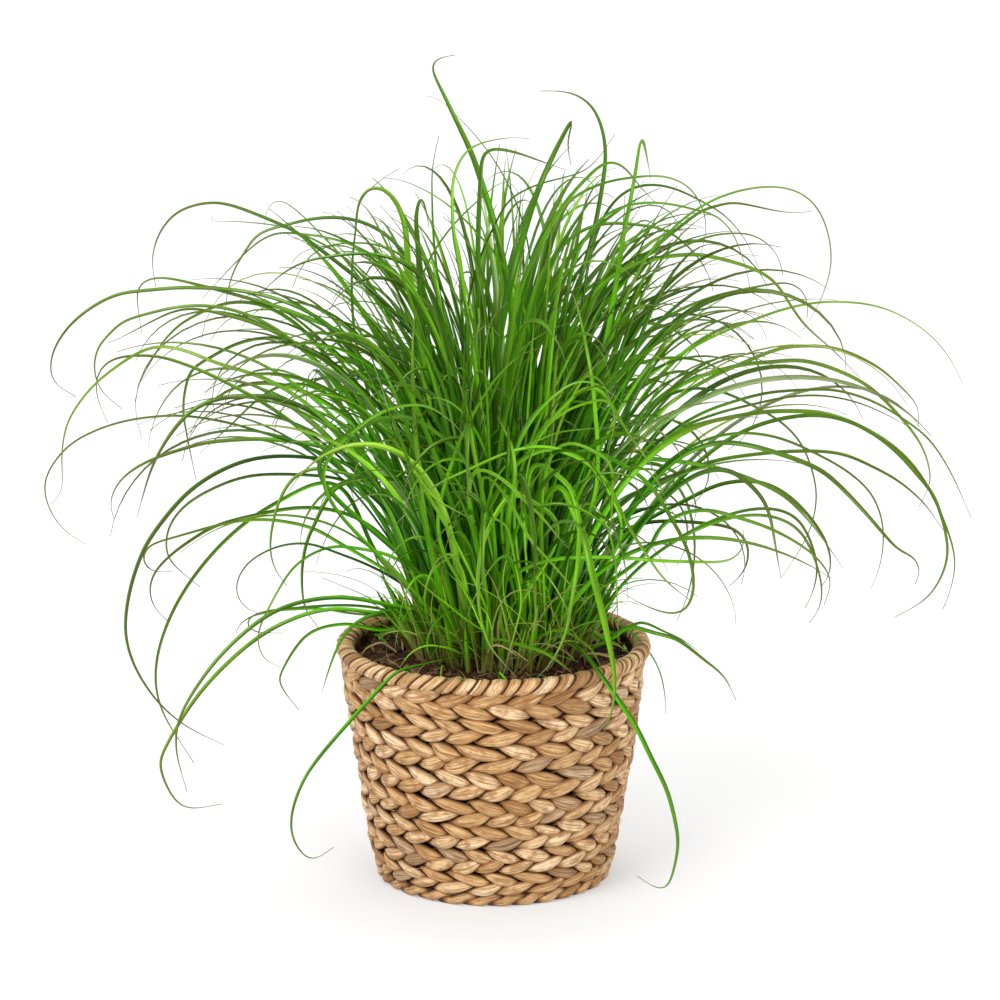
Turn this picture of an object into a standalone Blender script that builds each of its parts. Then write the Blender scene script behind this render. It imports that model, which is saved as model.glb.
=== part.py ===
"""Potted umbrella sedge: a clump of narrow arching leaves in a woven straw basket.

Metres, +Z up. The origin is the centre of the basket's flat bottom, and the
front of the basket faces -Y.
"""
import math

import bmesh
import bpy
from mathutils import Matrix, Vector

# ---------------------------------------------------------------- dimensions
MM = 0.001

WALL_PROFILE = ((0, 68.6), (9, 70.4), (24, 73.3), (44, 76.5), (61, 79.4),
                (82, 82.4), (109, 86.4), (132, 89.0))   # height, outer radius
ROW_LIMITS = (7.6, 21.2, 36.0, 50.8, 66.8, 84.3, 101.5, 116.8, 131.2)
ROW_GAP = 0.3                    # clearance between two braid rows
ROW_THICK = 7.0                  # radial thickness of a braid
ROW_BULGE = 1.6                  # how far the middle of a braid stands out
ROUND_STEPS = 32

RIM_RADIUS = 85.6                # centre of the wrapped hoop
RIM_HALF_WIDTH = 5.0
RIM_HALF_HEIGHT = 4.3
RIM_HEIGHT = 136.1

ROPE_RADIUS = 64.4
ROPE_HALF = 3.75

BASE_RADIUS = 60.0
BASE_THICK = 6.0

SOIL_EDGE = 128.5                # soil level at the wall
SOIL_TOP = 132.0                 # soil level at the foot of the plant
CROWN_X = 3.0                    # the clump stands slightly right of centre
CROWN_HALF_X = 58.0
CROWN_HALF_Y = 47.0
CROWN_TOP = 146.0
TUFT_START = CROWN_TOP + 0.4     # every tuft rises from the top of the crown

# Bundles of leaves: compass angle (0 right, 90 back, 180 left, 270 front),
# foot radius, lean at the foot, lean at the tip (degrees from upright),
# length, how late it bends over, sideways sweep (degrees), half thickness.
TUFTS = {
    "tuft_centre":    (175, 0, 1, 15, 338, 1.6, 0, 5.6),
    "tuft_inner_1":   (10, 15, 6, 34, 292, 1.8, 4, 5.4),
    "tuft_inner_2":   (70, 14, 4, 44, 325, 2.2, -4, 5.0),
    "tuft_inner_3":   (140, 15, 5, 36, 268, 1.8, 4, 5.4),
    "tuft_inner_4":   (222, 14, 5, 32, 262, 1.8, -5, 5.0),
    "tuft_inner_5":   (300, 14, 6, 40, 280, 1.8, 5, 5.0),
    "tuft_middle_1":  (0, 31, 16, 138, 342, 2.0, 6, 6.0),
    "tuft_middle_2":  (38, 30, 11, 142, 370, 2.4, -5, 5.6),
    "tuft_middle_3":  (76, 30, 11, 112, 310, 2.2, 6, 5.6),
    "tuft_middle_4":  (112, 30, 11, 120, 325, 2.2, -5, 5.6),
    "tuft_middle_5":  (148, 30, 12, 132, 352, 2.3, 5, 5.6),
    "tuft_middle_6":  (184, 31, 15, 152, 350, 2.0, -6, 6.0),
    "tuft_middle_7":  (224, 30, 10, 84, 292, 2.1, 5, 5.6),
    "tuft_middle_8":  (268, 30, 9, 74, 272, 2.1, -4, 5.6),
    "tuft_middle_9":  (316, 30, 10, 88, 296, 2.1, 5, 5.6),
    "tuft_outer_1":   (344, 48, 30, 182, 304, 1.7, -5, 6.2),
    "tuft_outer_2":   (18, 48, 28, 158, 332, 1.8, 6, 6.2),
    "tuft_outer_3":   (52, 47, 24, 140, 300, 2.0, 5, 6.0),
    "tuft_outer_4":   (84, 47, 24, 138, 285, 2.0, -6, 6.0),
    "tuft_outer_5":   (116, 47, 24, 140, 300, 2.0, 6, 6.0),
    "tuft_outer_6":   (146, 48, 27, 158, 325, 1.9, -5, 6.2),
    "tuft_outer_7":   (174, 48, 29, 168, 298, 1.8, 5, 6.2),
    "tuft_outer_8":   (204, 48, 30, 205, 300, 1.5, -5, 6.2),
    "tuft_outer_9":   (240, 46, 20, 120, 245, 2.0, -6, 6.0),
    "tuft_outer_10":  (272, 45, 18, 108, 215, 2.0, 6, 5.8),
    "tuft_outer_11":  (306, 46, 22, 128, 250, 2.0, 5, 6.0),
}
TUFT_STATIONS = 12
TUFT_FOOT = 4.0                  # upright foot of every tuft

# Single leaves, drawn in the front view: compass angle where the leaf leaves
# the crown, height there, and its course as (across, down) in thousandths of
# the view with the depth in mm (+ is back).
LEAVES = {
    "leaf_over_rim_left":
        (247, 141, ((408, 668, -70), (392, 676, -76), (372, 697, -81), (350, 721, -84),
                    (324, 751, -86), (305, 777, -88), (293, 807, -89), (291, 831, -89),
                    (299, 850, -88), (313, 860, -86), (334, 847, -83))),
    "leaf_over_rim_front":
        (289, 143, ((535, 560, -58), (543, 505, -64), (556, 484, -69), (568, 498, -74),
                    (583, 534, -80), (593, 575, -87), (603, 616, -93), (614, 670, -101),
                    (613, 707, -107), (601, 740, -112))),
    "leaf_over_rim_right":
        (322, 141, ((575, 645, -52), (593, 664, -65), (606, 682, -72), (634, 723, -78),
                    (650, 755, -81), (667, 790, -83), (676, 824, -84), (678, 849, -84),
                    (669, 885, -83), (658, 889, -82), (637, 876, -80))),
    "leaf_low_left_1":
        (196, 141, ((382, 614, -18), (324, 610, -22), (262, 635, -27), (203, 689, -33),
                    (164, 750, -39), (161, 772, -42), (182, 807, -46), (222, 804, -50))),
    "leaf_low_left_2":
        (211, 141, ((390, 605, -36), (334, 597, -44), (275, 611, -53), (222, 654, -63),
                    (183, 710, -74), (176, 748, -81), (187, 792, -90))),
    "leaf_low_left_3":
        (182, 141, ((386, 630, 0), (345, 624, 1), (307, 635, 2), (281, 673, 4),
                    (283, 689, 5), (299, 710, 6))),
    "leaf_hanging_left":
        (160, 142, ((380, 560, 24), (338, 484, 26), (275, 504, 29), (222, 544, 31),
                    (179, 600, 33), (157, 659, 36), (161, 708, 38), (194, 763, 40))),
    "leaf_low_right_1":
        (344, 141, ((605, 640, -18), (628, 627, -20), (655, 633, -23), (678, 640, -26),
                    (703, 659, -29), (724, 677, -32), (736, 700, -34))),
    "leaf_low_right_2":
        (10, 141, ((612, 632, 10), (640, 622, 15), (664, 631, 19), (683, 640, 23),
                   (697, 650, 26))),
    "leaf_hanging_right":
        (2, 142, ((640, 520, 0), (727, 440, -3), (808, 415, -7), (870, 431, -10),
                  (920, 474, -13), (954, 550, -17), (950, 592, -19), (943, 609, -20))),
    "leaf_curled_right":
        (328, 142, ((640, 560, -38), (663, 525, -43), (700, 510, -48), (743, 519, -53),
                    (780, 533, -57), (814, 555, -61), (831, 580, -64), (824, 605, -66))),
}
LEAF_STATIONS = 15
LEAF_HALF_WIDTH = 1.7
LEAF_KEEL = 0.8

# The eye of the front view: distance, height angle, scale and aim point.
EYE_DISTANCE = 3000.0
EYE_ANGLE = math.radians(14.5)
EYE_SCALE = 5236.5
EYE_CENTRE = (493.5, 500.0)
EYE_AIM_HEIGHT = 222.8

STRAW = (0.62, 0.42, 0.22, 1)
STRAW_DARK = (0.50, 0.33, 0.17, 1)
SOIL = (0.045, 0.024, 0.013, 1)
LEAF = (0.10, 0.30, 0.025, 1)
LEAF_LIGHT = (0.18, 0.38, 0.06, 1)
SHEATH = (0.30, 0.36, 0.10, 1)

# ---------------------------------------------------------------- clean start
for old in list(bpy.data.objects):
    bpy.data.objects.remove(old, do_unlink=True)

scene = bpy.context.scene
parts = bpy.data.collections.new("potted_umbrella_sedge")
guides = bpy.data.collections.new("guides")
scene.collection.children.link(parts)
scene.collection.children.link(guides)


# ---------------------------------------------------------------- helpers
def material(name, colour, roughness):
    mat = bpy.data.materials.new(name)
    mat.use_nodes = True
    shader = mat.node_tree.nodes["Principled BSDF"]
    shader.inputs["Base Color"].default_value = colour
    shader.inputs["Roughness"].default_value = roughness
    shader.inputs["Metallic"].default_value = 0.0
    mat.diffuse_color = colour
    return mat


def wall_radius(height):
    """Outer radius of the basket wall at a height, in mm."""
    for (z0, r0), (z1, r1) in zip(WALL_PROFILE, WALL_PROFILE[1:]):
        if height <= z1:
            return r0 + (r1 - r0) * (height - z0) / (z1 - z0)
    return WALL_PROFILE[-1][1]


def turned(name, profile, ring, steps, mat):
    """Turn a profile of (radius, height) in mm around the vertical axis."""
    mesh = bpy.data.meshes.new(name)
    verts = [(r * MM, 0, z * MM) for r, z in profile]
    edges = [(i, i + 1) for i in range(len(verts) - 1)]
    if ring:
        edges.append((len(verts) - 1, 0))
    mesh.from_pydata(verts, edges, [])
    obj = bpy.data.objects.new(name, mesh)
    parts.objects.link(obj)
    screw = obj.modifiers.new("Turn", "SCREW")
    screw.axis = "Z"
    screw.angle = math.tau
    screw.steps = steps
    screw.render_steps = steps
    screw.use_merge_vertices = True
    screw.merge_threshold = 0.0001
    screw.use_smooth_shade = True
    mesh.materials.append(mat)
    return obj


def arch_points(angle, foot, lean0, lean1, length, power, sweep, count):
    """Points up a leaf bundle that rises from the crown and bends over."""
    x = CROWN_X + foot * math.cos(math.radians(angle))
    y = foot * math.sin(math.radians(angle)) * CROWN_HALF_Y / CROWN_HALF_X
    z = TUFT_START
    points = [Vector((x, y, z)) * MM]      # the foot stands square on the crown
    z += TUFT_FOOT
    steps = 240
    keep = [round(i * steps / (count - 2)) for i in range(count - 1)]
    for i in range(steps + 1):
        if i in keep:
            points.append(Vector((x, y, z)) * MM)
        t = (i + 0.5) / steps
        lean = math.radians(lean0 + (lean1 - lean0) * t ** power)
        heading = math.radians(angle + sweep * t)
        step = length / steps
        x += math.sin(lean) * math.cos(heading) * step
        y += math.sin(lean) * math.sin(heading) * step
        z += math.cos(lean) * step
    return points


def bundle_radius(t, half):
    """Half thickness of a bundle: it fans out a little, then runs to a point."""
    fan = 1.0 + 0.75 * math.sin(math.pi * min(t / 0.8, 1.0) * 0.5)
    point = (1.0 - t ** 2.2) ** 0.8
    return max(half * fan * point, 0.9)


def seen(across, down, depth):
    """The point of the front view at (across, down) that lies at a depth (mm)."""
    eye = Vector((0, -EYE_DISTANCE * math.cos(EYE_ANGLE),
                  EYE_AIM_HEIGHT + EYE_DISTANCE * math.sin(EYE_ANGLE)))
    ahead = Vector((0, math.cos(EYE_ANGLE), -math.sin(EYE_ANGLE)))
    up = Vector((0, math.sin(EYE_ANGLE), math.cos(EYE_ANGLE)))
    ray = (ahead + up * ((EYE_CENTRE[1] - down) / EYE_SCALE)
           + Vector((1, 0, 0)) * ((across - EYE_CENTRE[0]) / EYE_SCALE))
    return eye + ray * ((depth - eye.y) / ray.y)


def smooth_course(points, count):
    """Evenly spaced points on a smooth curve through the given ones."""
    padded = [points[0]] + points + [points[-1]]
    run = [0.0]
    for a, b in zip(points, points[1:]):
        run.append(run[-1] + (b - a).length)
    result = []
    for i in range(count):
        s = run[-1] * i / (count - 1)
        k = 0
        while k < len(points) - 2 and run[k + 1] <= s:
            k += 1
        t = (s - run[k]) / (run[k + 1] - run[k])
        a, b, c, d = padded[k:k + 4]
        result.append(0.5 * (2 * b + (c - a) * t + (2 * a - 5 * b + 4 * c - d) * t * t
                             + (3 * b - a - 3 * c + d) * t ** 3))
    return result


def leaf_points(angle, height, course):
    """A single leaf's centre line, from the side of the crown to its tip."""
    a = math.radians(angle)
    foot = Vector((CROWN_X + (CROWN_HALF_X + 2.2) * math.cos(a),
                   (CROWN_HALF_Y + 2.2) * math.sin(a), height))
    points = [foot] + [seen(*place) for place in course]
    return [p * MM for p in smooth_course(points, LEAF_STATIONS)]


def sweep_curve(name, points, radii, mat):
    """A tapered curve object with filled ends."""
    curve = bpy.data.curves.new(name, "CURVE")
    curve.dimensions = "3D"
    curve.use_fill_caps = True
    curve.twist_mode = "MINIMUM"
    spline = curve.splines.new("POLY")
    spline.points.add(len(points) - 1)
    for point, co, radius in zip(spline.points, points, radii):
        point.co = (*co, 1)
        point.radius = radius
    obj = bpy.data.objects.new(name, curve)
    parts.objects.link(obj)
    curve.materials.append(mat)
    return obj


# ---------------------------------------------------------------- basket
straw = material("straw", STRAW, 0.75)
dark_straw = material("straw_dark", STRAW_DARK, 0.8)

turned("basket_base",
       ((0, BASE_THICK), (BASE_RADIUS - 1, BASE_THICK), (BASE_RADIUS, BASE_THICK - 1),
        (BASE_RADIUS, 0.8), (BASE_RADIUS - 0.8, 0), (0, 0)),
       False, ROUND_STEPS, dark_straw)

rope_ring = [(ROPE_RADIUS + ROPE_HALF * math.cos(a), ROPE_HALF + ROPE_HALF * math.sin(a))
             for a in (math.radians(90 - 60 * i) for i in range(6))]
turned("base_rope", rope_ring, True, ROUND_STEPS, dark_straw)

for row in range(8):
    low = ROW_LIMITS[row] + ROW_GAP / 2
    high = ROW_LIMITS[row + 1] - ROW_GAP / 2
    middle = (low + high) / 2
    r_low, r_mid, r_high = (wall_radius(h) for h in (low, middle, high))
    section = (
        (r_high - ROW_THICK, high),
        (r_high - ROW_BULGE, high),
        (r_mid, middle),
        (r_low - ROW_BULGE, low),
        (r_low - ROW_THICK, low),
    )
    turned(f"braid_row_{row + 1}", section, True, ROUND_STEPS, straw)

rim_ring = [(RIM_RADIUS + RIM_HALF_WIDTH * math.cos(a), RIM_HEIGHT + RIM_HALF_HEIGHT * math.sin(a))
            for a in (math.radians(90 - 45 * i) for i in range(8))]
turned("rim", rim_ring, True, ROUND_STEPS, material("rim_straw", STRAW, 0.6))

# ---------------------------------------------------------------- soil
inner = ROW_THICK + 0.5
soil_profile = [(0, SOIL_TOP), (CROWN_HALF_X + 4, SOIL_TOP),
                (wall_radius(SOIL_EDGE) - inner - 1, SOIL_EDGE)]
for height in (110, 60, 24):
    soil_profile.append((wall_radius(height) - inner, height))
soil_profile += [(wall_radius(BASE_THICK) - inner - 1, BASE_THICK + 2.2),
                 (BASE_RADIUS - 1, BASE_THICK + 0.3), (0, BASE_THICK + 0.3)]
turned("soil", soil_profile, False, ROUND_STEPS, material("soil", SOIL, 0.95))

# ---------------------------------------------------------------- crown
crown_mesh = bpy.data.meshes.new("crown")
drum = bmesh.new()
crown_low = SOIL_TOP + 0.3
bmesh.ops.create_cone(drum, cap_ends=True, segments=24, radius1=1.0, radius2=0.97, depth=1.0)
drum.transform(
    Matrix.Translation(Vector((CROWN_X, 0, (crown_low + CROWN_TOP) / 2)) * MM)
    @ Matrix.Diagonal((CROWN_HALF_X * MM, CROWN_HALF_Y * MM,
                       (CROWN_TOP - crown_low) * MM, 1)))
drum.to_mesh(crown_mesh)
drum.free()
crown = bpy.data.objects.new("crown", crown_mesh)
parts.objects.link(crown)
crown_mesh.materials.append(material("sheath", SHEATH, 0.6))

# ---------------------------------------------------------------- tufts
leaf_green = material("leaf", LEAF, 0.4)
leaf_pale = material("leaf_pale", LEAF_LIGHT, 0.4)

for name, (angle, foot, lean0, lean1, length, power, sweep, half) in TUFTS.items():
    points = arch_points(angle, foot, lean0, lean1, length, power, sweep, TUFT_STATIONS)
    radii = [half] + [bundle_radius(i / (TUFT_STATIONS - 2), half)
                      for i in range(TUFT_STATIONS - 1)]
    tuft = sweep_curve(name, points, radii, leaf_pale if "centre" in name else leaf_green)
    tuft.data.bevel_depth = MM
    tuft.data.bevel_resolution = 1

# ---------------------------------------------------------------- single leaves
outline = bpy.data.curves.new("leaf_section", "CURVE")
outline.dimensions = "2D"
section = outline.splines.new("POLY")
section.points.add(3)
for point, (x, y) in zip(section.points, ((-LEAF_HALF_WIDTH, 0.1), (0, LEAF_KEEL * 0.5),
                                           (LEAF_HALF_WIDTH, 0.1), (0, -LEAF_KEEL))):
    point.co = (x * MM, y * MM, 0, 1)
section.use_cyclic_u = True
leaf_section = bpy.data.objects.new("leaf_section", outline)
leaf_section.hide_render = True
leaf_section.display_type = "WIRE"
guides.objects.link(leaf_section)

for name, (angle, height, course) in LEAVES.items():
    points = leaf_points(angle, height, course)
    last = LEAF_STATIONS - 1
    radii = [1.0 - 0.7 * (i / last) ** 1.5 for i in range(LEAF_STATIONS)]
    leaf = sweep_curve(name, points, radii, leaf_green)
    leaf.data.bevel_mode = "OBJECT"
    leaf.data.bevel_object = leaf_section
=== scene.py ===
"""Looks of the potted umbrella sedge: woven basket, soil, crown and leaves.

Lengths are in millimetres in this file and turned into metres when a mesh is
made. +Z is up, the front of the basket faces -Y.
"""

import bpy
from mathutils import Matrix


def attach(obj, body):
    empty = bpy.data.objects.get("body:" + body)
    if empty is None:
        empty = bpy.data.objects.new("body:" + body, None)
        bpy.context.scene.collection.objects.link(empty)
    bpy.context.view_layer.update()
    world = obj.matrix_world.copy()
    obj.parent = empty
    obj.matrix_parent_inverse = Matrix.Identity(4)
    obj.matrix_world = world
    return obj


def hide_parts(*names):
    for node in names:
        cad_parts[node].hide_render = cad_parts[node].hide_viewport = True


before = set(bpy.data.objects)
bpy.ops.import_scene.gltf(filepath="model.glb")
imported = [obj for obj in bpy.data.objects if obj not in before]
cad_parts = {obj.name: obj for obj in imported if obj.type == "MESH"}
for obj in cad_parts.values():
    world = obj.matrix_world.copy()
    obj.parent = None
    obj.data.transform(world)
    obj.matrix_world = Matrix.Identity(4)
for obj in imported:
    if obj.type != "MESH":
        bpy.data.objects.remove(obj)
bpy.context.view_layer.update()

import math
import random

import bpy
import numpy as np
from mathutils import Vector, noise

MM = 0.001
TAU = math.tau

# ------------------------------------------------------------ dimensions
WALL_PROFILE = ((0, 68.6), (9, 70.4), (24, 73.3), (44, 76.5), (61, 79.4),
                (82, 82.4), (109, 86.4), (132, 89.0))
ROW_LIMITS = (7.6, 21.2, 36.0, 50.8, 66.8, 84.3, 101.5, 116.8, 131.2)
RIM_RADIUS, RIM_HALF_WIDTH, RIM_HALF_HEIGHT, RIM_HEIGHT = 85.6, 5.0, 4.3, 136.1
ROPE_RADIUS, ROPE_HALF = 64.4, 3.75
BASE_RADIUS, BASE_THICK = 60.0, 6.0
SOIL_EDGE, SOIL_TOP = 128.5, 132.0
CROWN_X, CROWN_HALF_X, CROWN_HALF_Y = 3.0, 58.0, 47.0

# compass angle, foot radius, lean at the foot, lean at the tip, length,
# how late it bends over, sideways sweep, number of leaves
TUFTS = {
    "tuft_centre":    (175, 0, 1, 15, 338, 1.6, 0, 62),
    "tuft_inner_1":   (10, 15, 6, 34, 292, 1.8, 4, 42),
    "tuft_inner_2":   (70, 14, 4, 44, 325, 2.2, -4, 48),
    "tuft_inner_3":   (140, 15, 5, 36, 268, 1.8, 4, 48),
    "tuft_inner_4":   (222, 14, 5, 32, 262, 1.8, -5, 42),
    "tuft_inner_5":   (300, 14, 6, 40, 280, 1.8, 5, 42),
    "tuft_middle_1":  (0, 31, 16, 138, 342, 2.0, 6, 12),
    "tuft_middle_2":  (38, 30, 11, 142, 370, 2.4, -5, 12),
    "tuft_middle_3":  (76, 30, 11, 112, 310, 2.2, 6, 21),
    "tuft_middle_4":  (112, 30, 11, 120, 325, 2.2, -5, 19),
    "tuft_middle_5":  (148, 30, 12, 132, 352, 2.3, 5, 11),
    "tuft_middle_6":  (184, 31, 15, 152, 350, 2.0, -6, 12),
    "tuft_middle_7":  (224, 30, 10, 84, 292, 2.1, 5, 25),
    "tuft_middle_8":  (268, 30, 9, 74, 272, 2.1, -4, 30),
    "tuft_middle_9":  (316, 30, 10, 88, 296, 2.1, 5, 22),
    "tuft_outer_1":   (344, 48, 30, 182, 304, 1.7, -5, 4),
    "tuft_outer_2":   (18, 48, 28, 158, 332, 1.8, 6, 3),
    "tuft_outer_3":   (52, 47, 24, 140, 300, 2.0, 5, 8),
    "tuft_outer_4":   (84, 47, 24, 138, 285, 2.0, -6, 12),
    "tuft_outer_5":   (116, 47, 24, 140, 300, 2.0, 6, 8),
    "tuft_outer_6":   (146, 48, 27, 158, 325, 1.9, -5, 4),
    "tuft_outer_7":   (174, 48, 29, 168, 298, 1.8, 5, 3),
    "tuft_outer_8":   (204, 48, 30, 205, 300, 1.5, -5, 3),
    "tuft_outer_9":   (240, 46, 20, 120, 245, 2.0, -6, 11),
    "tuft_outer_10":  (272, 45, 18, 108, 215, 2.0, 6, 15),
    "tuft_outer_11":  (306, 46, 22, 128, 250, 2.0, 5, 10),
}

# Single leaves: compass angle where the leaf leaves the crown, height there,
# and its course as (across, down) in thousandths of the front view with the
# depth in mm (+ is back).
LEAVES = {
    "leaf_over_rim_left":
        (247, 141, ((408, 668, -70), (392, 676, -76), (372, 697, -81), (350, 721, -84),
                    (324, 751, -86), (305, 777, -88), (293, 807, -89), (291, 831, -89),
                    (299, 850, -88), (313, 860, -86), (334, 847, -83))),
    "leaf_over_rim_front":
        (289, 143, ((533, 556, -40), (541, 512, -50), (554, 487, -62), (568, 498, -74),
                    (583, 534, -80), (593, 575, -87), (603, 616, -93), (614, 670, -101),
                    (613, 707, -107), (601, 740, -112))),
    "leaf_over_rim_right":
        (322, 141, ((575, 645, -52), (593, 664, -65), (606, 682, -72), (634, 723, -78),
                    (650, 755, -81), (667, 790, -83), (676, 824, -84), (678, 849, -84),
                    (669, 885, -83), (658, 889, -82), (637, 876, -80))),
    "leaf_low_left_1":
        (196, 141, ((382, 614, -18), (324, 610, -22), (262, 635, -27), (203, 689, -33),
                    (164, 750, -39), (161, 772, -42), (182, 807, -46), (222, 804, -50))),
    "leaf_low_left_2":
        (211, 141, ((390, 605, -36), (334, 597, -44), (275, 611, -53), (222, 654, -63),
                    (183, 710, -74), (176, 748, -81), (187, 792, -90))),
    "leaf_low_left_3":
        (182, 141, ((386, 630, 0), (345, 624, 1), (307, 635, 2), (281, 673, 4),
                    (283, 689, 5), (299, 710, 6))),
    "leaf_hanging_left":
        (160, 142, ((380, 560, 24), (338, 484, 26), (275, 504, 29), (222, 544, 31),
                    (179, 600, 33), (157, 659, 36), (161, 708, 38), (194, 763, 40))),
    "leaf_low_right_1":
        (344, 141, ((605, 640, -18), (628, 627, -20), (655, 633, -23), (678, 640, -26),
                    (703, 659, -29), (724, 677, -32), (736, 700, -34))),
    "leaf_low_right_2":
        (10, 141, ((612, 632, 10), (640, 622, 15), (664, 631, 19), (683, 640, 23),
                   (697, 650, 26))),
    "leaf_hanging_right":
        (2, 142, ((640, 520, 0), (727, 440, -3), (808, 415, -7), (870, 431, -10),
                  (920, 474, -13), (954, 550, -17), (950, 592, -19), (943, 609, -20))),
    "leaf_curled_right":
        (328, 142, ((640, 560, -38), (663, 525, -43), (700, 510, -48), (743, 519, -53),
                    (780, 533, -57), (814, 555, -61), (831, 580, -64), (824, 605, -66))),
}

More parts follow.
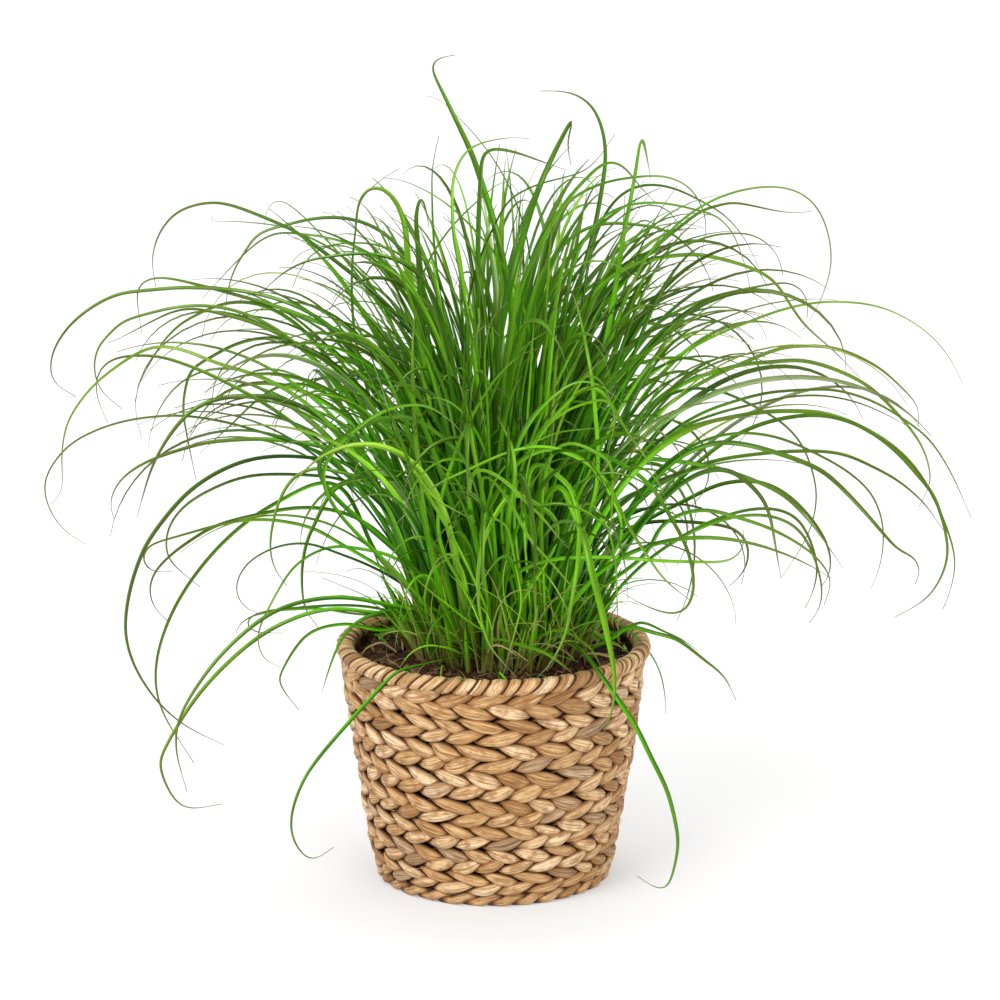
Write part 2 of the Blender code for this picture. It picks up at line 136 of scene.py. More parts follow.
# Leaves that show on their own at the edge of the clump: half width in mm,
# least and greatest depth of the tip, and the course in the front view.
SHOWN_LEAVES = (
    # top
    (1.75, -20, 20, ((481, 181), (471, 152), (454, 116), (442, 91), (431, 68), (432, 61), (441, 57), (455, 55))),
    (0.70, -40, 60, ((451, 110), (438, 98), (427, 96))),
    (0.75, -40, 60, ((432, 193), (432, 173), (435, 152), (439, 136))),
    (2.00, -50, 30, ((500, 330), (510, 280), (524, 230), (536, 193), (552, 156), (573, 117), (567, 141), (571, 165))),
    (1.30, -20, 60, ((581, 275), (593, 234), (601, 193), (605, 165), (605, 144), (600, 122), (591, 105), (575, 94), (558, 91), (540, 91))),
    (2.10, -50, 30, ((606, 330), (615, 280), (622, 234), (628, 205), (634, 173), (641, 135), (647, 156), (651, 179))),
    (1.55, -60, 60, ((481, 350), (479, 295), (479, 234), (481, 183), (483, 156), (490, 149), (513, 152), (534, 159), (554, 166), (566, 170))),
    (0.90, -60, 60, ((491, 234), (501, 214), (509, 201), (524, 191), (544, 183), (564, 178), (581, 173), (593, 165), (603, 152), (615, 134))),
    (0.80, -60, 20, ((487, 193), (499, 183), (509, 180), (516, 187), (518, 193))),
    (0.85, -20, 80, ((357, 222), (360, 201), (375, 185), (385, 177), (399, 169))),
    (0.95, -40, 60, ((470, 226), (458, 214), (442, 201), (422, 189), (401, 180), (383, 178))),
    (1.80, -60, 20, ((422, 316), (418, 244), (416, 218), (419, 201), (421, 195), (426, 210), (429, 228))),
    # upper left
    (1.10, -60, 60, ((340, 265), (300, 235), (283, 226), (244, 210), (225, 204), (207, 203), (179, 211), (161, 230), (153, 252), (152, 265), (156, 287))),
    (1.00, -60, 80, ((300, 233), (277, 225), (230, 221), (210, 222), (207, 219), (213, 216))),
    (0.75, -60, 80, ((320, 234), (297, 211), (279, 199), (270, 204), (265, 214), (265, 226))),
    (1.00, -60, 80, ((283, 226), (258, 234), (245, 252), (235, 268), (228, 290), (224, 320))),
    (1.05, -60, 80, ((295, 234), (279, 233), (265, 238), (249, 250), (224, 275), (202, 299))),
    (1.05, -60, 80, ((326, 257), (306, 261), (283, 273), (265, 289), (257, 299))),
    (0.75, -60, 80, ((316, 248), (300, 252), (292, 263))),
    (1.25, -70, 30, ((340, 332), (285, 310), (234, 295), (204, 287), (175, 280), (157, 278), (142, 282), (137, 291), (138, 305), (140, 322), (142, 334))),
    (1.05, -60, 60, ((195, 288), (175, 288), (142, 291), (122, 293), (102, 301), (77, 318), (59, 339), (51, 358), (50, 374), (56, 386), (67, 391), (76, 397))),
    (1.10, -60, 60, ((224, 314), (195, 308), (173, 311), (146, 324), (122, 337), (108, 343))),
    (0.90, -60, 80, ((151, 313), (122, 322), (108, 336), (99, 345), (94, 362), (96, 380), (102, 392), (122, 409))),
    (1.25, -60, 60, ((200, 314), (179, 326), (163, 343), (151, 362), (140, 382), (135, 402))),
    # left
    (1.15, -70, 40, ((244, 372), (214, 363), (187, 352), (163, 347), (146, 350), (126, 361), (95, 385), (73, 413), (65, 433), (62, 458), (63, 484), (60, 497), (51, 504))),
    (1.05, -70, 60, ((234, 386), (208, 373), (183, 363), (159, 356), (134, 355), (114, 358), (102, 366), (96, 378), (96, 394), (102, 411), (108, 423))),
    (1.30, -70, 60, ((244, 396), (220, 398), (195, 408), (177, 425), (163, 445), (153, 464), (146, 484), (140, 506), (137, 517))),
    (0.95, -70, 70, ((204, 361), (191, 370), (185, 390), (183, 411), (186, 431), (190, 451), (196, 480))),
    (1.10, -70, 70, ((251, 406), (236, 421), (216, 439), (200, 453))),
    (1.10, -70, 70, ((285, 441), (261, 439), (232, 440), (204, 443), (179, 450), (161, 456), (142, 464), (122, 478), (112, 494), (110, 506), (114, 519))),
    (1.10, -70, 40, ((298, 443), (244, 426), (214, 419), (183, 415), (153, 416), (122, 421), (95, 430), (71, 443), (55, 460), (45, 478), (44, 492), (49, 509), (59, 525), (73, 537), (86, 544))),
    (1.30, -60, 30, ((338, 460), (306, 456), (275, 455), (244, 460), (214, 473), (187, 492), (163, 519), (144, 547), (131, 582), (125, 614), (125, 638), (133, 665), (149, 692), (168, 713), (190, 729), (224, 745))),
    (0.80, -60, 70, ((322, 476), (275, 474), (244, 477), (214, 488), (187, 504), (171, 523), (166, 543), (171, 562), (200, 587))),
    (0.95, -60, 70, ((340, 543), (316, 529), (285, 521), (255, 519), (224, 523), (173, 537), (149, 545), (142, 557), (146, 568), (159, 573), (173, 571))),
    (0.95, -60, 70, ((260, 514), (218, 525), (193, 539), (171, 555), (155, 572), (150, 586), (151, 600), (157, 611), (168, 621))),
    (1.00, -60, 70, ((340, 553), (310, 543), (285, 544), (265, 551), (246, 564), (237, 580), (236, 594), (246, 609), (265, 615))),
    (1.00, -70, 70, ((350, 548), (334, 547), (313, 554), (294, 568), (281, 587), (269, 609), (259, 630), (259, 649), (267, 662), (281, 667))),
    (1.05, -70, 60, ((326, 500), (316, 521), (307, 540), (302, 566), (302, 587), (305, 609), (318, 627))),
    (0.95, -70, 70, ((330, 470), (314, 468), (295, 476), (283, 492), (275, 513), (271, 533), (270, 551), (275, 570), (287, 586))),
    # left, low
    (0.80, -30, 40, ((345, 612), (324, 608), (291, 609), (270, 611), (249, 617), (238, 625), (236, 633))),
    (0.75, -30, 40, ((300, 608), (270, 611), (249, 617), (246, 625), (254, 632), (283, 633))),
    (1.15, -30, 40, ((377, 614), (358, 622), (345, 635), (334, 657), (322, 692))),
    # front of the clump
    (1.20, -90, -70, ((352, 432), (377, 420), (401, 417), (422, 422), (438, 434), (454, 448), (466, 463), (487, 524))),
    # right
    (1.15, -30, 50, ((640, 263), (674, 226), (702, 205), (732, 192), (766, 186), (796, 190), (817, 206), (828, 231), (832, 259), (828, 281), (819, 304), (808, 323), (801, 332))),
    (1.00, -30, 70, ((686, 222), (702, 210), (716, 206), (732, 202), (755, 206), (778, 211), (796, 213), (812, 211))),
    (0.80, -60, 80, ((709, 205), (725, 215), (741, 233), (752, 252), (759, 268))),
    (0.85, -60, 80, ((702, 211), (718, 216), (732, 231), (741, 252), (747, 272), (750, 288))),
    (0.95, -60, 80, ((640, 176), (658, 175), (677, 179), (693, 190), (702, 206), (707, 224), (704, 242), (701, 254))),
    (0.75, -60, 80, ((686, 245), (709, 236), (732, 233), (750, 234), (766, 242), (778, 256), (783, 275))),
    (1.00, -60, 80, ((640, 225), (663, 229), (681, 240), (697, 256), (709, 275), (713, 291))),
    (1.10, -70, 40, ((670, 256), (697, 254), (727, 260), (755, 269), (775, 281), (789, 302), (805, 325), (831, 348), (847, 364), (860, 378))),
    (0.85, -60, 80, ((750, 288), (778, 283), (791, 283), (803, 291), (808, 304), (807, 318))),
    (1.10, -50, 50, ((686, 350), (716, 334), (743, 323), (778, 310), (808, 303), (835, 301), (870, 304), (899, 314), (927, 332), (948, 355), (963, 384))),
    (1.00, -70, 70, ((750, 360), (778, 349), (801, 346), (828, 347), (853, 354), (881, 369), (899, 385), (913, 399), (919, 410), (918, 426))),
    (1.10, -70, 70, ((709, 373), (743, 364), (769, 362), (801, 360), (835, 369), (870, 387), (899, 415), (920, 442), (929, 465), (931, 484), (927, 491), (919, 507))),
    (1.10, -40, 50, ((732, 403), (766, 394), (801, 391), (835, 391), (870, 401), (899, 417), (927, 438), (945, 463), (959, 490), (971, 518))),
    (0.95, -70, 70, ((755, 403), (789, 396), (824, 395), (858, 402), (888, 415), (911, 428))),
    (1.10, -50, 60, ((709, 422), (755, 413), (789, 411), (824, 413), (856, 424), (883, 440), (906, 461), (925, 484), (932, 491), (941, 514), (946, 534), (948, 555), (941, 578), (925, 600), (895, 617))),
    (1.00, -70, 70, ((755, 454), (789, 451), (824, 451), (847, 455), (870, 465), (899, 481), (925, 504), (943, 530))),
    (1.30, -70, 40, ((750, 445), (778, 453), (801, 461), (824, 472), (847, 493), (870, 518), (888, 539), (902, 553), (911, 554), (921, 570), (915, 584))),
    (1.00, -70, 70, ((817, 455), (847, 472), (870, 493), (881, 518), (883, 543), (879, 569), (871, 588))),
    (1.30, -80, 0, ((750, 484), (764, 500), (771, 518), (775, 541), (781, 578))),
    (1.05, -70, 60, ((686, 500), (720, 484), (755, 481), (782, 491), (805, 511), (824, 537), (831, 560), (828, 578), (821, 587))),
    (1.30, -80, 20, ((663, 459), (720, 468), (778, 491), (810, 521), (831, 550), (843, 568))),
    (0.85, -60, 60, ((810, 540), (817, 566), (814, 589), (805, 608))),
    (0.85, -60, 60, ((815, 560), (822, 589), (819, 610), (809, 623))),
    (0.95, -70, 60, ((670, 521), (720, 525), (739, 532), (748, 546), (747, 564), (739, 578), (729, 586))),
    (0.80, -70, 60, ((755, 406), (782, 422), (801, 442), (812, 468), (817, 495), (812, 525), (798, 553), (781, 578))),
    (0.70, -30, 20, ((632, 632), (650, 652), (660, 670), (665, 693), (666, 714))),
)

# Leaves that show whole in front of the clump: half width in mm, tone, depth
# of the tip, and the course in the front view.
FRONT_LEAVES = (
    (1.25, 0.86, -100, ((446, 482), (453, 462), (457, 448), (466, 430), (472, 417), (481, 402), (490, 387), (504, 370), (518, 357), (532, 350), (546, 347))),
    (1.30, 0.80, -110, ((608, 492), (600, 480), (588, 464), (575, 456), (560, 450), (540, 447), (518, 450), (495, 458), (471, 469), (446, 480), (422, 493), (403, 501))),
    (1.45, 0.84, -114, ((505, 480), (518, 462), (540, 450), (560, 450), (587, 462), (606, 480), (618, 504), (631, 530), (647, 555), (665, 580), (690, 600))),
    (1.20, 0.72, -112, ((340, 444), (360, 426), (381, 412), (407, 405), (425, 405), (437, 411), (449, 419), (459, 429), (468, 442))),
    (1.60, 0.98, -78, ((424, 500), (420, 463), (416, 435), (414, 399), (413, 352), (414, 322), (418, 305))),
    (2.10, 0.80, -108, ((498, 606), (502, 580), (506, 556), (507, 530), (508, 513), (513, 487), (514, 472), (513, 457), (510, 443), (504, 430), (497, 417))),
    (1.30, 0.97, -98, ((478, 470), (472, 441), (471, 427), (468, 414), (462, 392), (456, 376))),
    (1.45, 0.90, -73, ((481, 410), (479, 399), (473, 352), (468, 322), (464, 297), (459, 265), (454, 240), (452, 214), (452, 185), (457, 165), (469, 148), (491, 140), (518, 137), (530, 139))),
    (1.40, 0.88, -63, ((470, 410), (463, 393), (452, 372), (443, 350), (435, 330), (425, 309), (415, 291), (401, 271), (385, 240), (372, 215), (360, 201), (350, 197))),
    (2.30, 0.965, -24, ((418, 330), (415, 301), (411, 283), (408, 262), (407, 248), (405, 226), (398, 205), (389, 193), (377, 186), (365, 191), (358, 203), (355, 225))),
    (2.00, 0.72, -68, ((503, 420), (505, 373), (510, 337), (515, 316), (520, 296), (526, 276), (537, 255), (552, 226), (571, 197), (587, 179), (603, 164), (615, 162), (626, 169), (640, 187), (656, 203))),
    (1.50, 0.97, -58, ((502, 400), (505, 383), (510, 352), (513, 332), (515, 301), (520, 283), (521, 266), (526, 245))),
    (1.75, 0.62, 0, ((528, 330), (537, 289), (546, 270), (566, 236), (587, 205), (599, 192), (607, 191), (614, 198))),
    (1.90, 0.80, -83, ((596, 440), (594, 416), (593, 400), (591, 383), (588, 362), (585, 347), (582, 330), (578, 311), (572, 293), (565, 281))),
    (1.90, 0.99, -68, ((549, 440), (551, 413), (553, 400), (555, 373), (557, 352), (560, 340))),
    (1.25, 0.85, -64, ((529, 385), (531, 357), (532, 342), (534, 322), (536, 303))),
    (1.10, 0.75, -93, ((487, 410), (486, 388), (484, 368), (485, 348), (488, 330), (494, 315), (508, 302))),
    (1.35, 0.97, 10, ((607, 350), (611, 322), (614, 301), (616, 281), (620, 260), (622, 240), (624, 215), (625, 195))),
    (1.10, 0.80, -69, ((560, 375), (568, 359), (577, 342), (585, 325), (595, 301), (600, 290))),
    (1.35, 0.72, -108, ((512, 460), (520, 439), (530, 421), (543, 405), (555, 394), (567, 385), (581, 380), (594, 382), (604, 387), (612, 393), (620, 401), (625, 406))),
    (1.30, 0.84, -112, ((570, 400), (583, 388), (601, 389), (608, 399), (616, 411), (623, 424), (630, 435), (638, 446), (646, 457), (653, 468), (658, 478), (663, 492))),
    (0.90, 0.85, -114, ((596, 400), (606, 398), (613, 406), (616, 420), (613, 433), (609, 450), (605, 471))),
    (0.80, 0.86, -108, ((515, 455), (523, 447), (539, 441), (553, 434), (567, 431), (581, 430), (597, 428), (612, 428), (621, 428))),
    (1.35, 0.60, -108, ((618, 462), (631, 470), (646, 481), (655, 492), (663, 504), (670, 517), (679, 532), (688, 552), (693, 575), (693, 592), (689, 605), (680, 613), (663, 612), (640, 603), (623, 593))),
    (1.45, 0.88, -118, ((495, 475), (505, 482), (516, 491), (530, 506), (544, 519), (556, 535), (568, 548))),
    (1.60, 0.90, -122, ((497, 486), (507, 500), (518, 519), (529, 540), (546, 558), (562, 576), (579, 595), (586, 603))),
    (1.50, 0.97, -118, ((530, 500), (513, 493), (501, 505), (489, 526), (481, 548), (477, 575), (478, 606), (483, 630), (490, 648), (503, 663), (516, 677))),
    (0.85, 0.90, -120, ((500, 520), (507, 525), (511, 540), (516, 565), (521, 590), (522, 607), (518, 620), (513, 640), (508, 656), (503, 676))),
    (1.60, 0.88, -116, ((560, 478), (572, 490), (579, 520), (579, 545), (577, 573), (571, 606), (567, 630), (562, 643), (554, 659), (545, 670), (537, 678))),
    (1.65, 0.80, -100, ((495, 588), (503, 581), (518, 571), (537, 562), (562, 557), (587, 556), (612, 556), (640, 558), (663, 560), (697, 561), (725, 561), (739, 554), (744, 543), (743, 530))),
    (1.10, 0.78, -114, ((500, 640), (516, 644), (537, 649), (554, 658), (572, 673))),
    (0.75, 0.86, -120, ((604, 520), (610, 535), (614, 555), (616, 573), (617, 606), (619, 642))),
    (0.85, 0.80, -108, ((566, 632), (577, 638), (591, 649), (601, 667))),
    (1.20, 0.88, -112, ((600, 455), (610, 462), (613, 480), (612, 498), (612, 513), (609, 535), (604, 556))),
    (0.65, 0.90, -118, ((460, 615), (450, 606), (435, 595), (418, 580), (405, 568), (399, 567))),
    (0.75, 0.85, -104, ((462, 655), (453, 650), (441, 647), (425, 646), (410, 654), (400, 667))),
    (1.10, 0.90, -114, ((420, 480), (433, 498), (448, 507), (462, 514), (476, 522))),
    (0.75, 0.84, -104, ((425, 600), (428, 581), (436, 567), (452, 557), (471, 554))),
)

# The eye of the front view.
EYE_DISTANCE, EYE_ANGLE, EYE_SCALE = 3000.0, math.radians(14.5), 5236.5
EYE_CENTRE, EYE_AIM_HEIGHT = (493.5, 500.0), 222.8


# ------------------------------------------------------------ small helpers
def wall_radius(height):
    """Outer radius of the basket wall at a height."""
    for (z0, r0), (z1, r1) in zip(WALL_PROFILE, WALL_PROFILE[1:]):
        if height <= z1:
            return r0 + (r1 - r0) * (height - z0) / (z1 - z0)
    return WALL_PROFILE[-1][1]


def seen(across, down, depth):
    """The point of the front view at (across, down) that lies at a depth."""
    eye = np.array((0.0, -EYE_DISTANCE * math.cos(EYE_ANGLE),
                    EYE_AIM_HEIGHT + EYE_DISTANCE * math.sin(EYE_ANGLE)))
    ahead = np.array((0.0, math.cos(EYE_ANGLE), -math.sin(EYE_ANGLE)))
    up = np.array((0.0, math.sin(EYE_ANGLE), math.cos(EYE_ANGLE)))
    ray = (ahead + up * ((EYE_CENTRE[1] - down) / EYE_SCALE)
           + np.array((1.0, 0, 0)) * ((across - EYE_CENTRE[0]) / EYE_SCALE))
    return eye + ray * ((depth - eye[1]) / ray[1])


def shown_at(point):
    """Where a point stands in the front view, as (across, down)."""
    eye = np.array((0.0, -EYE_DISTANCE * math.cos(EYE_ANGLE),
                    EYE_AIM_HEIGHT + EYE_DISTANCE * math.sin(EYE_ANGLE)))
    way = np.asarray(point) - eye
    ahead = way[1] * math.cos(EYE_ANGLE) - way[2] * math.sin(EYE_ANGLE)
    up = way[1] * math.sin(EYE_ANGLE) + way[2] * math.cos(EYE_ANGLE)
    return (EYE_CENTRE[0] + EYE_SCALE * way[0] / ahead, EYE_CENTRE[1] - EYE_SCALE * up / ahead)


def smooth_course(points, count):
    """Evenly spaced points on a smooth curve through the given ones."""
    pts = np.asarray(points, float)
    first, last = 2 * pts[0] - pts[1], 2 * pts[-1] - pts[-2]
    padded = np.vstack([first, pts, last])
    dense = []
    for k in range(len(pts) - 1):
        a, b, c, d = padded[k:k + 4]
        for t in np.linspace(0, 1, 12, endpoint=False):
            dense.append(0.5 * (2 * b + (c - a) * t + (2 * a - 5 * b + 4 * c - d) * t * t
                                + (3 * b - a - 3 * c + d) * t ** 3))
    dense.append(pts[-1])
    dense = np.asarray(dense)
    run = np.concatenate([[0], np.cumsum(np.linalg.norm(np.diff(dense, axis=0), axis=1))])
    want = np.linspace(0, run[-1], count)
    return np.stack([np.interp(want, run, dense[:, i]) for i in range(3)], axis=1)


def unit(v):
    return v / np.maximum(np.linalg.norm(v, axis=-1, keepdims=True), 1e-9)


def wave(x, y, z, seed):
    """Smooth noise in -1..1."""
    return noise.noise(Vector((x + seed * 17.31, y - seed * 9.77, z + seed * 5.13)))


class Tubes:
    """Many tubes joined in one mesh. Each keeps its own strip of the surface map."""

    def __init__(self):
        self.tubes = []

    def add(self, rings, closed=False, cuts=1, **values):
        """rings: [stations, around, 3]; values: per-point numbers, same first two sizes."""
        self.tubes.append((np.asarray(rings, float), closed, cuts,
                           {k: np.asarray(v, float) for k, v in values.items()}))

    def build(self, name, mat, columns=1, sharp=None):
        cells = sum(cuts for _, _, cuts, _ in self.tubes)
        rows = math.ceil(cells / columns)
        verts, faces, uvs, values = [], [], [], {}
        base = cell = 0
        for rings, closed, cuts, extra in self.tubes:
            n, k, _ = rings.shape
            verts.append(rings.reshape(-1, 3))
            for key, v in extra.items():
                size = 3 if v.ndim == 3 else 1
                values.setdefault(key, (size, []))[1].append(v.reshape(-1, size))
            segs = n if closed else n - 1
            i = np.arange(segs)
            j = np.arange(k)
            a = (i[:, None] * k + j[None, :])
            b = (i[:, None] * k + (j[None, :] + 1) % k)
            c = (((i[:, None] + 1) % n) * k + (j[None, :] + 1) % k)
            d = (((i[:, None] + 1) % n) * k + j[None, :])
            quads = np.stack([a, b, c, d], axis=-1).reshape(-1, 4)
            flat = rings.reshape(-1, 3)
            p = flat[quads]
            mid = flat.mean(axis=0)
            volume = np.einsum("ij,ij->i", p[:, 0] - mid,
                               np.cross(p[:, 1] - mid, p[:, 2] - mid)
                               + np.cross(p[:, 2] - mid, p[:, 3] - mid)).sum()
            per_cut = math.ceil(segs / cuts)
            piece = i // per_cut
            local0 = (i - piece * per_cut) / per_cut
            local1 = local0 + 1 / per_cut
            at = cell + piece
            u_off, v_off = (at % columns) / columns, (at // columns) / rows
            wide, high = 1 / columns, 1 / rows
            u0 = u_off + wide * (0.02 + 0.96 * local0)
            u1 = u_off + wide * (0.02 + 0.96 * local1)
            v0 = v_off[:, None] + high * (0.08 + 0.84 * j[None, :] / k)
            v1 = v_off[:, None] + high * (0.08 + 0.84 * (j[None, :] + 1) / k)
            u0, u1 = np.broadcast_to(u0[:, None], v0.shape), np.broadcast_to(u1[:, None], v0.shape)
            uv = np.stack([np.stack([u0, v0], -1), np.stack([u0, v1], -1),
                           np.stack([u1, v1], -1), np.stack([u1, v0], -1)], axis=2).reshape(-1, 4, 2)
            caps = []
            if not closed:
                caps = [list(range(k))[::-1], [(n - 1) * k + q for q in range(k)]]
            if volume < 0:
                quads, uv = quads[:, ::-1], uv[:, ::-1]
                caps = [cap[::-1] for cap in caps]
            faces += (quads + base).tolist()
            uvs += uv.reshape(-1, 2).tolist()
            for side, cap in enumerate(caps):
                faces.append([q + base for q in cap])
                x = (at[0] % columns) / columns + wide * (0.008 if side == 0 else 0.992)
                y = (at[0] // columns) / rows + high * 0.5
                for q in range(k):
                    turn = TAU * q / k
                    uvs.append([x + wide * 0.004 * math.cos(turn), y + high * 0.2 * math.sin(turn)])
            base += n * k
            cell += cuts
        flat = np.concatenate(verts) * MM
        mesh = bpy.data.meshes.new(name)
        mesh.from_pydata(flat.tolist(), [], faces)
        layer = mesh.uv_layers.new(name="OFBake")
        layer.data.foreach_set("uv", np.clip(np.asarray(uvs, np.float32), 0.0005, 0.9995).ravel())
        for key, (size, parts) in values.items():
            kind = "FLOAT" if size == 1 else "FLOAT_VECTOR"
            field = mesh.attributes.new(key, kind, "POINT")
            field.data.foreach_set("value" if size == 1 else "vector",
                                   np.concatenate(parts).astype(np.float32).ravel())
        mesh.materials.append(mat)
        mesh.shade_smooth()
        if sharp is not None:
            mesh.set_sharp_from_angle(angle=math.radians(sharp))
        mesh.update()
        obj = bpy.data.objects.new(name, mesh)
        bpy.context.scene.collection.objects.link(obj)
        return obj


def stand_for(obj, node):
    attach(obj, "root")
    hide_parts(node)
    return obj


# ------------------------------------------------------------ materials
class Nodes:
    """A short way to write node materials."""

    def __init__(self, name):
        self.mat = bpy.data.materials.new(name)
        self.mat.use_nodes = True
        self.tree = self.mat.node_tree
        self.shader = self.tree.nodes["Principled BSDF"]

    def put(self, kind, **settings):
        node = self.tree.nodes.new(kind)
        for key, value in settings.items():
            setattr(node, key, value)
        return node

    def join(self, source, target):
        self.tree.links.new(source, target)

    def set(self, socket, value):
        if hasattr(value, "is_output"):
            self.join(value, socket)
        elif value is not None:
            socket.default_value = value

    def field(self, name, vector=False):
        node = self.put("ShaderNodeAttribute", attribute_name=name)
        return node.outputs["Vector" if vector else "Fac"]

    def math(self, operation, a, b=None, c=None, clamp=False):
        node = self.put("ShaderNodeMath", operation=operation, use_clamp=clamp)
        for socket, value in zip(node.inputs, (a, b, c)):
            self.set(socket, value)
        return node.outputs[0]

    def span(self, value, low, high, to_low=0.0, to_high=1.0, smooth=True):
        node = self.put("ShaderNodeMapRange",
                        interpolation_type="SMOOTHSTEP" if smooth else "LINEAR")
        for socket, v in zip(node.inputs, (value, low, high, to_low, to_high)):
            self.set(socket, v)
        return node.outputs[0]

    def mix(self, factor, a, b, blend="MIX"):
        node = self.put("ShaderNodeMix", data_type="RGBA", blend_type=blend)
        self.set(node.inputs[0], factor)
        self.set(node.inputs[6], a)
        self.set(node.inputs[7], b)
        return node.outputs[2]

    def ramp(self, value, *stops):
        node = self.put("ShaderNodeValToRGB")
        band = node.color_ramp
        while len(band.elements) < len(stops):
            band.elements.new(0.5)
        for element, (place, colour) in zip(band.elements, stops):
            element.position = place
            element.color = (*colour, 1)
        self.set(node.inputs[0], value)
        return node.outputs[0]

    def noise(self, vector, scale, detail=3.0, rough=0.55, distort=0.0):
        node = self.put("ShaderNodeTexNoise")
        self.set(node.inputs["Vector"], vector)
        node.inputs["Scale"].default_value = scale
        node.inputs["Detail"].default_value = detail
        node.inputs["Roughness"].default_value = rough
        node.inputs["Distortion"].default_value = distort
        return node.outputs["Fac"]

    def bump(self, height, strength, distance):
        node = self.put("ShaderNodeBump")
        node.inputs["Strength"].default_value = strength
        node.inputs["Distance"].default_value = distance
        self.set(node.inputs["Height"], height)
        return node.outputs["Normal"]

    def scaled(self, vector, x, y, z):
        node = self.put("ShaderNodeVectorMath", operation="MULTIPLY")
        self.set(node.inputs[0], vector)
        node.inputs[1].default_value = (x, y, z)
        return node.outputs[0]


def straw_material(name, dull, pale, rich, deep):
    """Dried stalks: fibres run along each strand, tone changes from strand to strand.

    fibre is (mm along the strand, and two numbers that turn round it); tone,
    grey and the painted shade are set on the points. The painted shade darkens
    the colour where a strand runs under its neighbours and in the creases
    between strands.
    """
    m = Nodes(name)
    fibre = m.field("fibre", vector=True)
    tone, grey, buried = m.field("tone"), m.field("grey"), m.field("buried")
    base = m.ramp(tone, (0.0, dull), (0.45, rich), (1.0, pale))
    streak = m.noise(m.scaled(fibre, 0.014, 1.0, 1.0), 4.6, 3.0, 0.6)
    fine = m.noise(m.scaled(fibre, 0.012, 1.0, 1.0), 13.0, 2.0, 0.6)
    blotch = m.noise(m.scaled(fibre, 0.09, 0.35, 0.35), 2.0, 2.0, 0.5)
    light = m.mix(m.span(streak, 0.34, 0.62), (0.54, 0.40, 0.245, 1), (1.22, 1.24, 1.25, 1))
    colour = m.mix(1.0, base, light, "MULTIPLY")
    colour = m.mix(1.0, colour, m.span(fine, 0.32, 0.62, 0.82, 1.08), "MULTIPLY")
    colour = m.mix(m.span(blotch, 0.46, 0.70, 0.0, 0.70), colour, (*deep, 1))
    colour = m.mix(m.math("MULTIPLY", grey, 0.80), colour,
                   m.mix(m.span(streak, 0.34, 0.64), (0.13, 0.072, 0.040, 1), (0.43, 0.300, 0.190, 1)))
    crack = m.span(m.noise(m.scaled(fibre, 0.02, 1.0, 1.0), 7.5, 2.0, 0.5), 0.60, 0.70, 0.0, 0.5)
    colour = m.mix(crack, colour, (0.16, 0.085, 0.036, 1))
    # painted shade: brown, then near black, where a strand runs under others and in the creases between strands
    colour = m.mix(m.span(buried, 0.03, 0.44, 0.0, 0.72), colour, (0.34, 0.145, 0.040, 1))
    colour = m.mix(m.span(buried, 0.28, 0.82, 0.0, 0.95), colour, (0.062, 0.022, 0.005, 1))
    m.set(m.shader.inputs["Base Color"], colour)
    m.set(m.shader.inputs["Roughness"], m.span(streak, 0.3, 0.7, 0.62, 0.46))
    m.shader.inputs["Specular IOR Level"].default_value = 0.24
    height = m.math("ADD", m.math("MULTIPLY", streak, 0.6), m.math("MULTIPLY", fine, 0.4))
    m.set(m.shader.inputs["Normal"], m.bump(height, 0.55, 0.0009))
    return m.mat


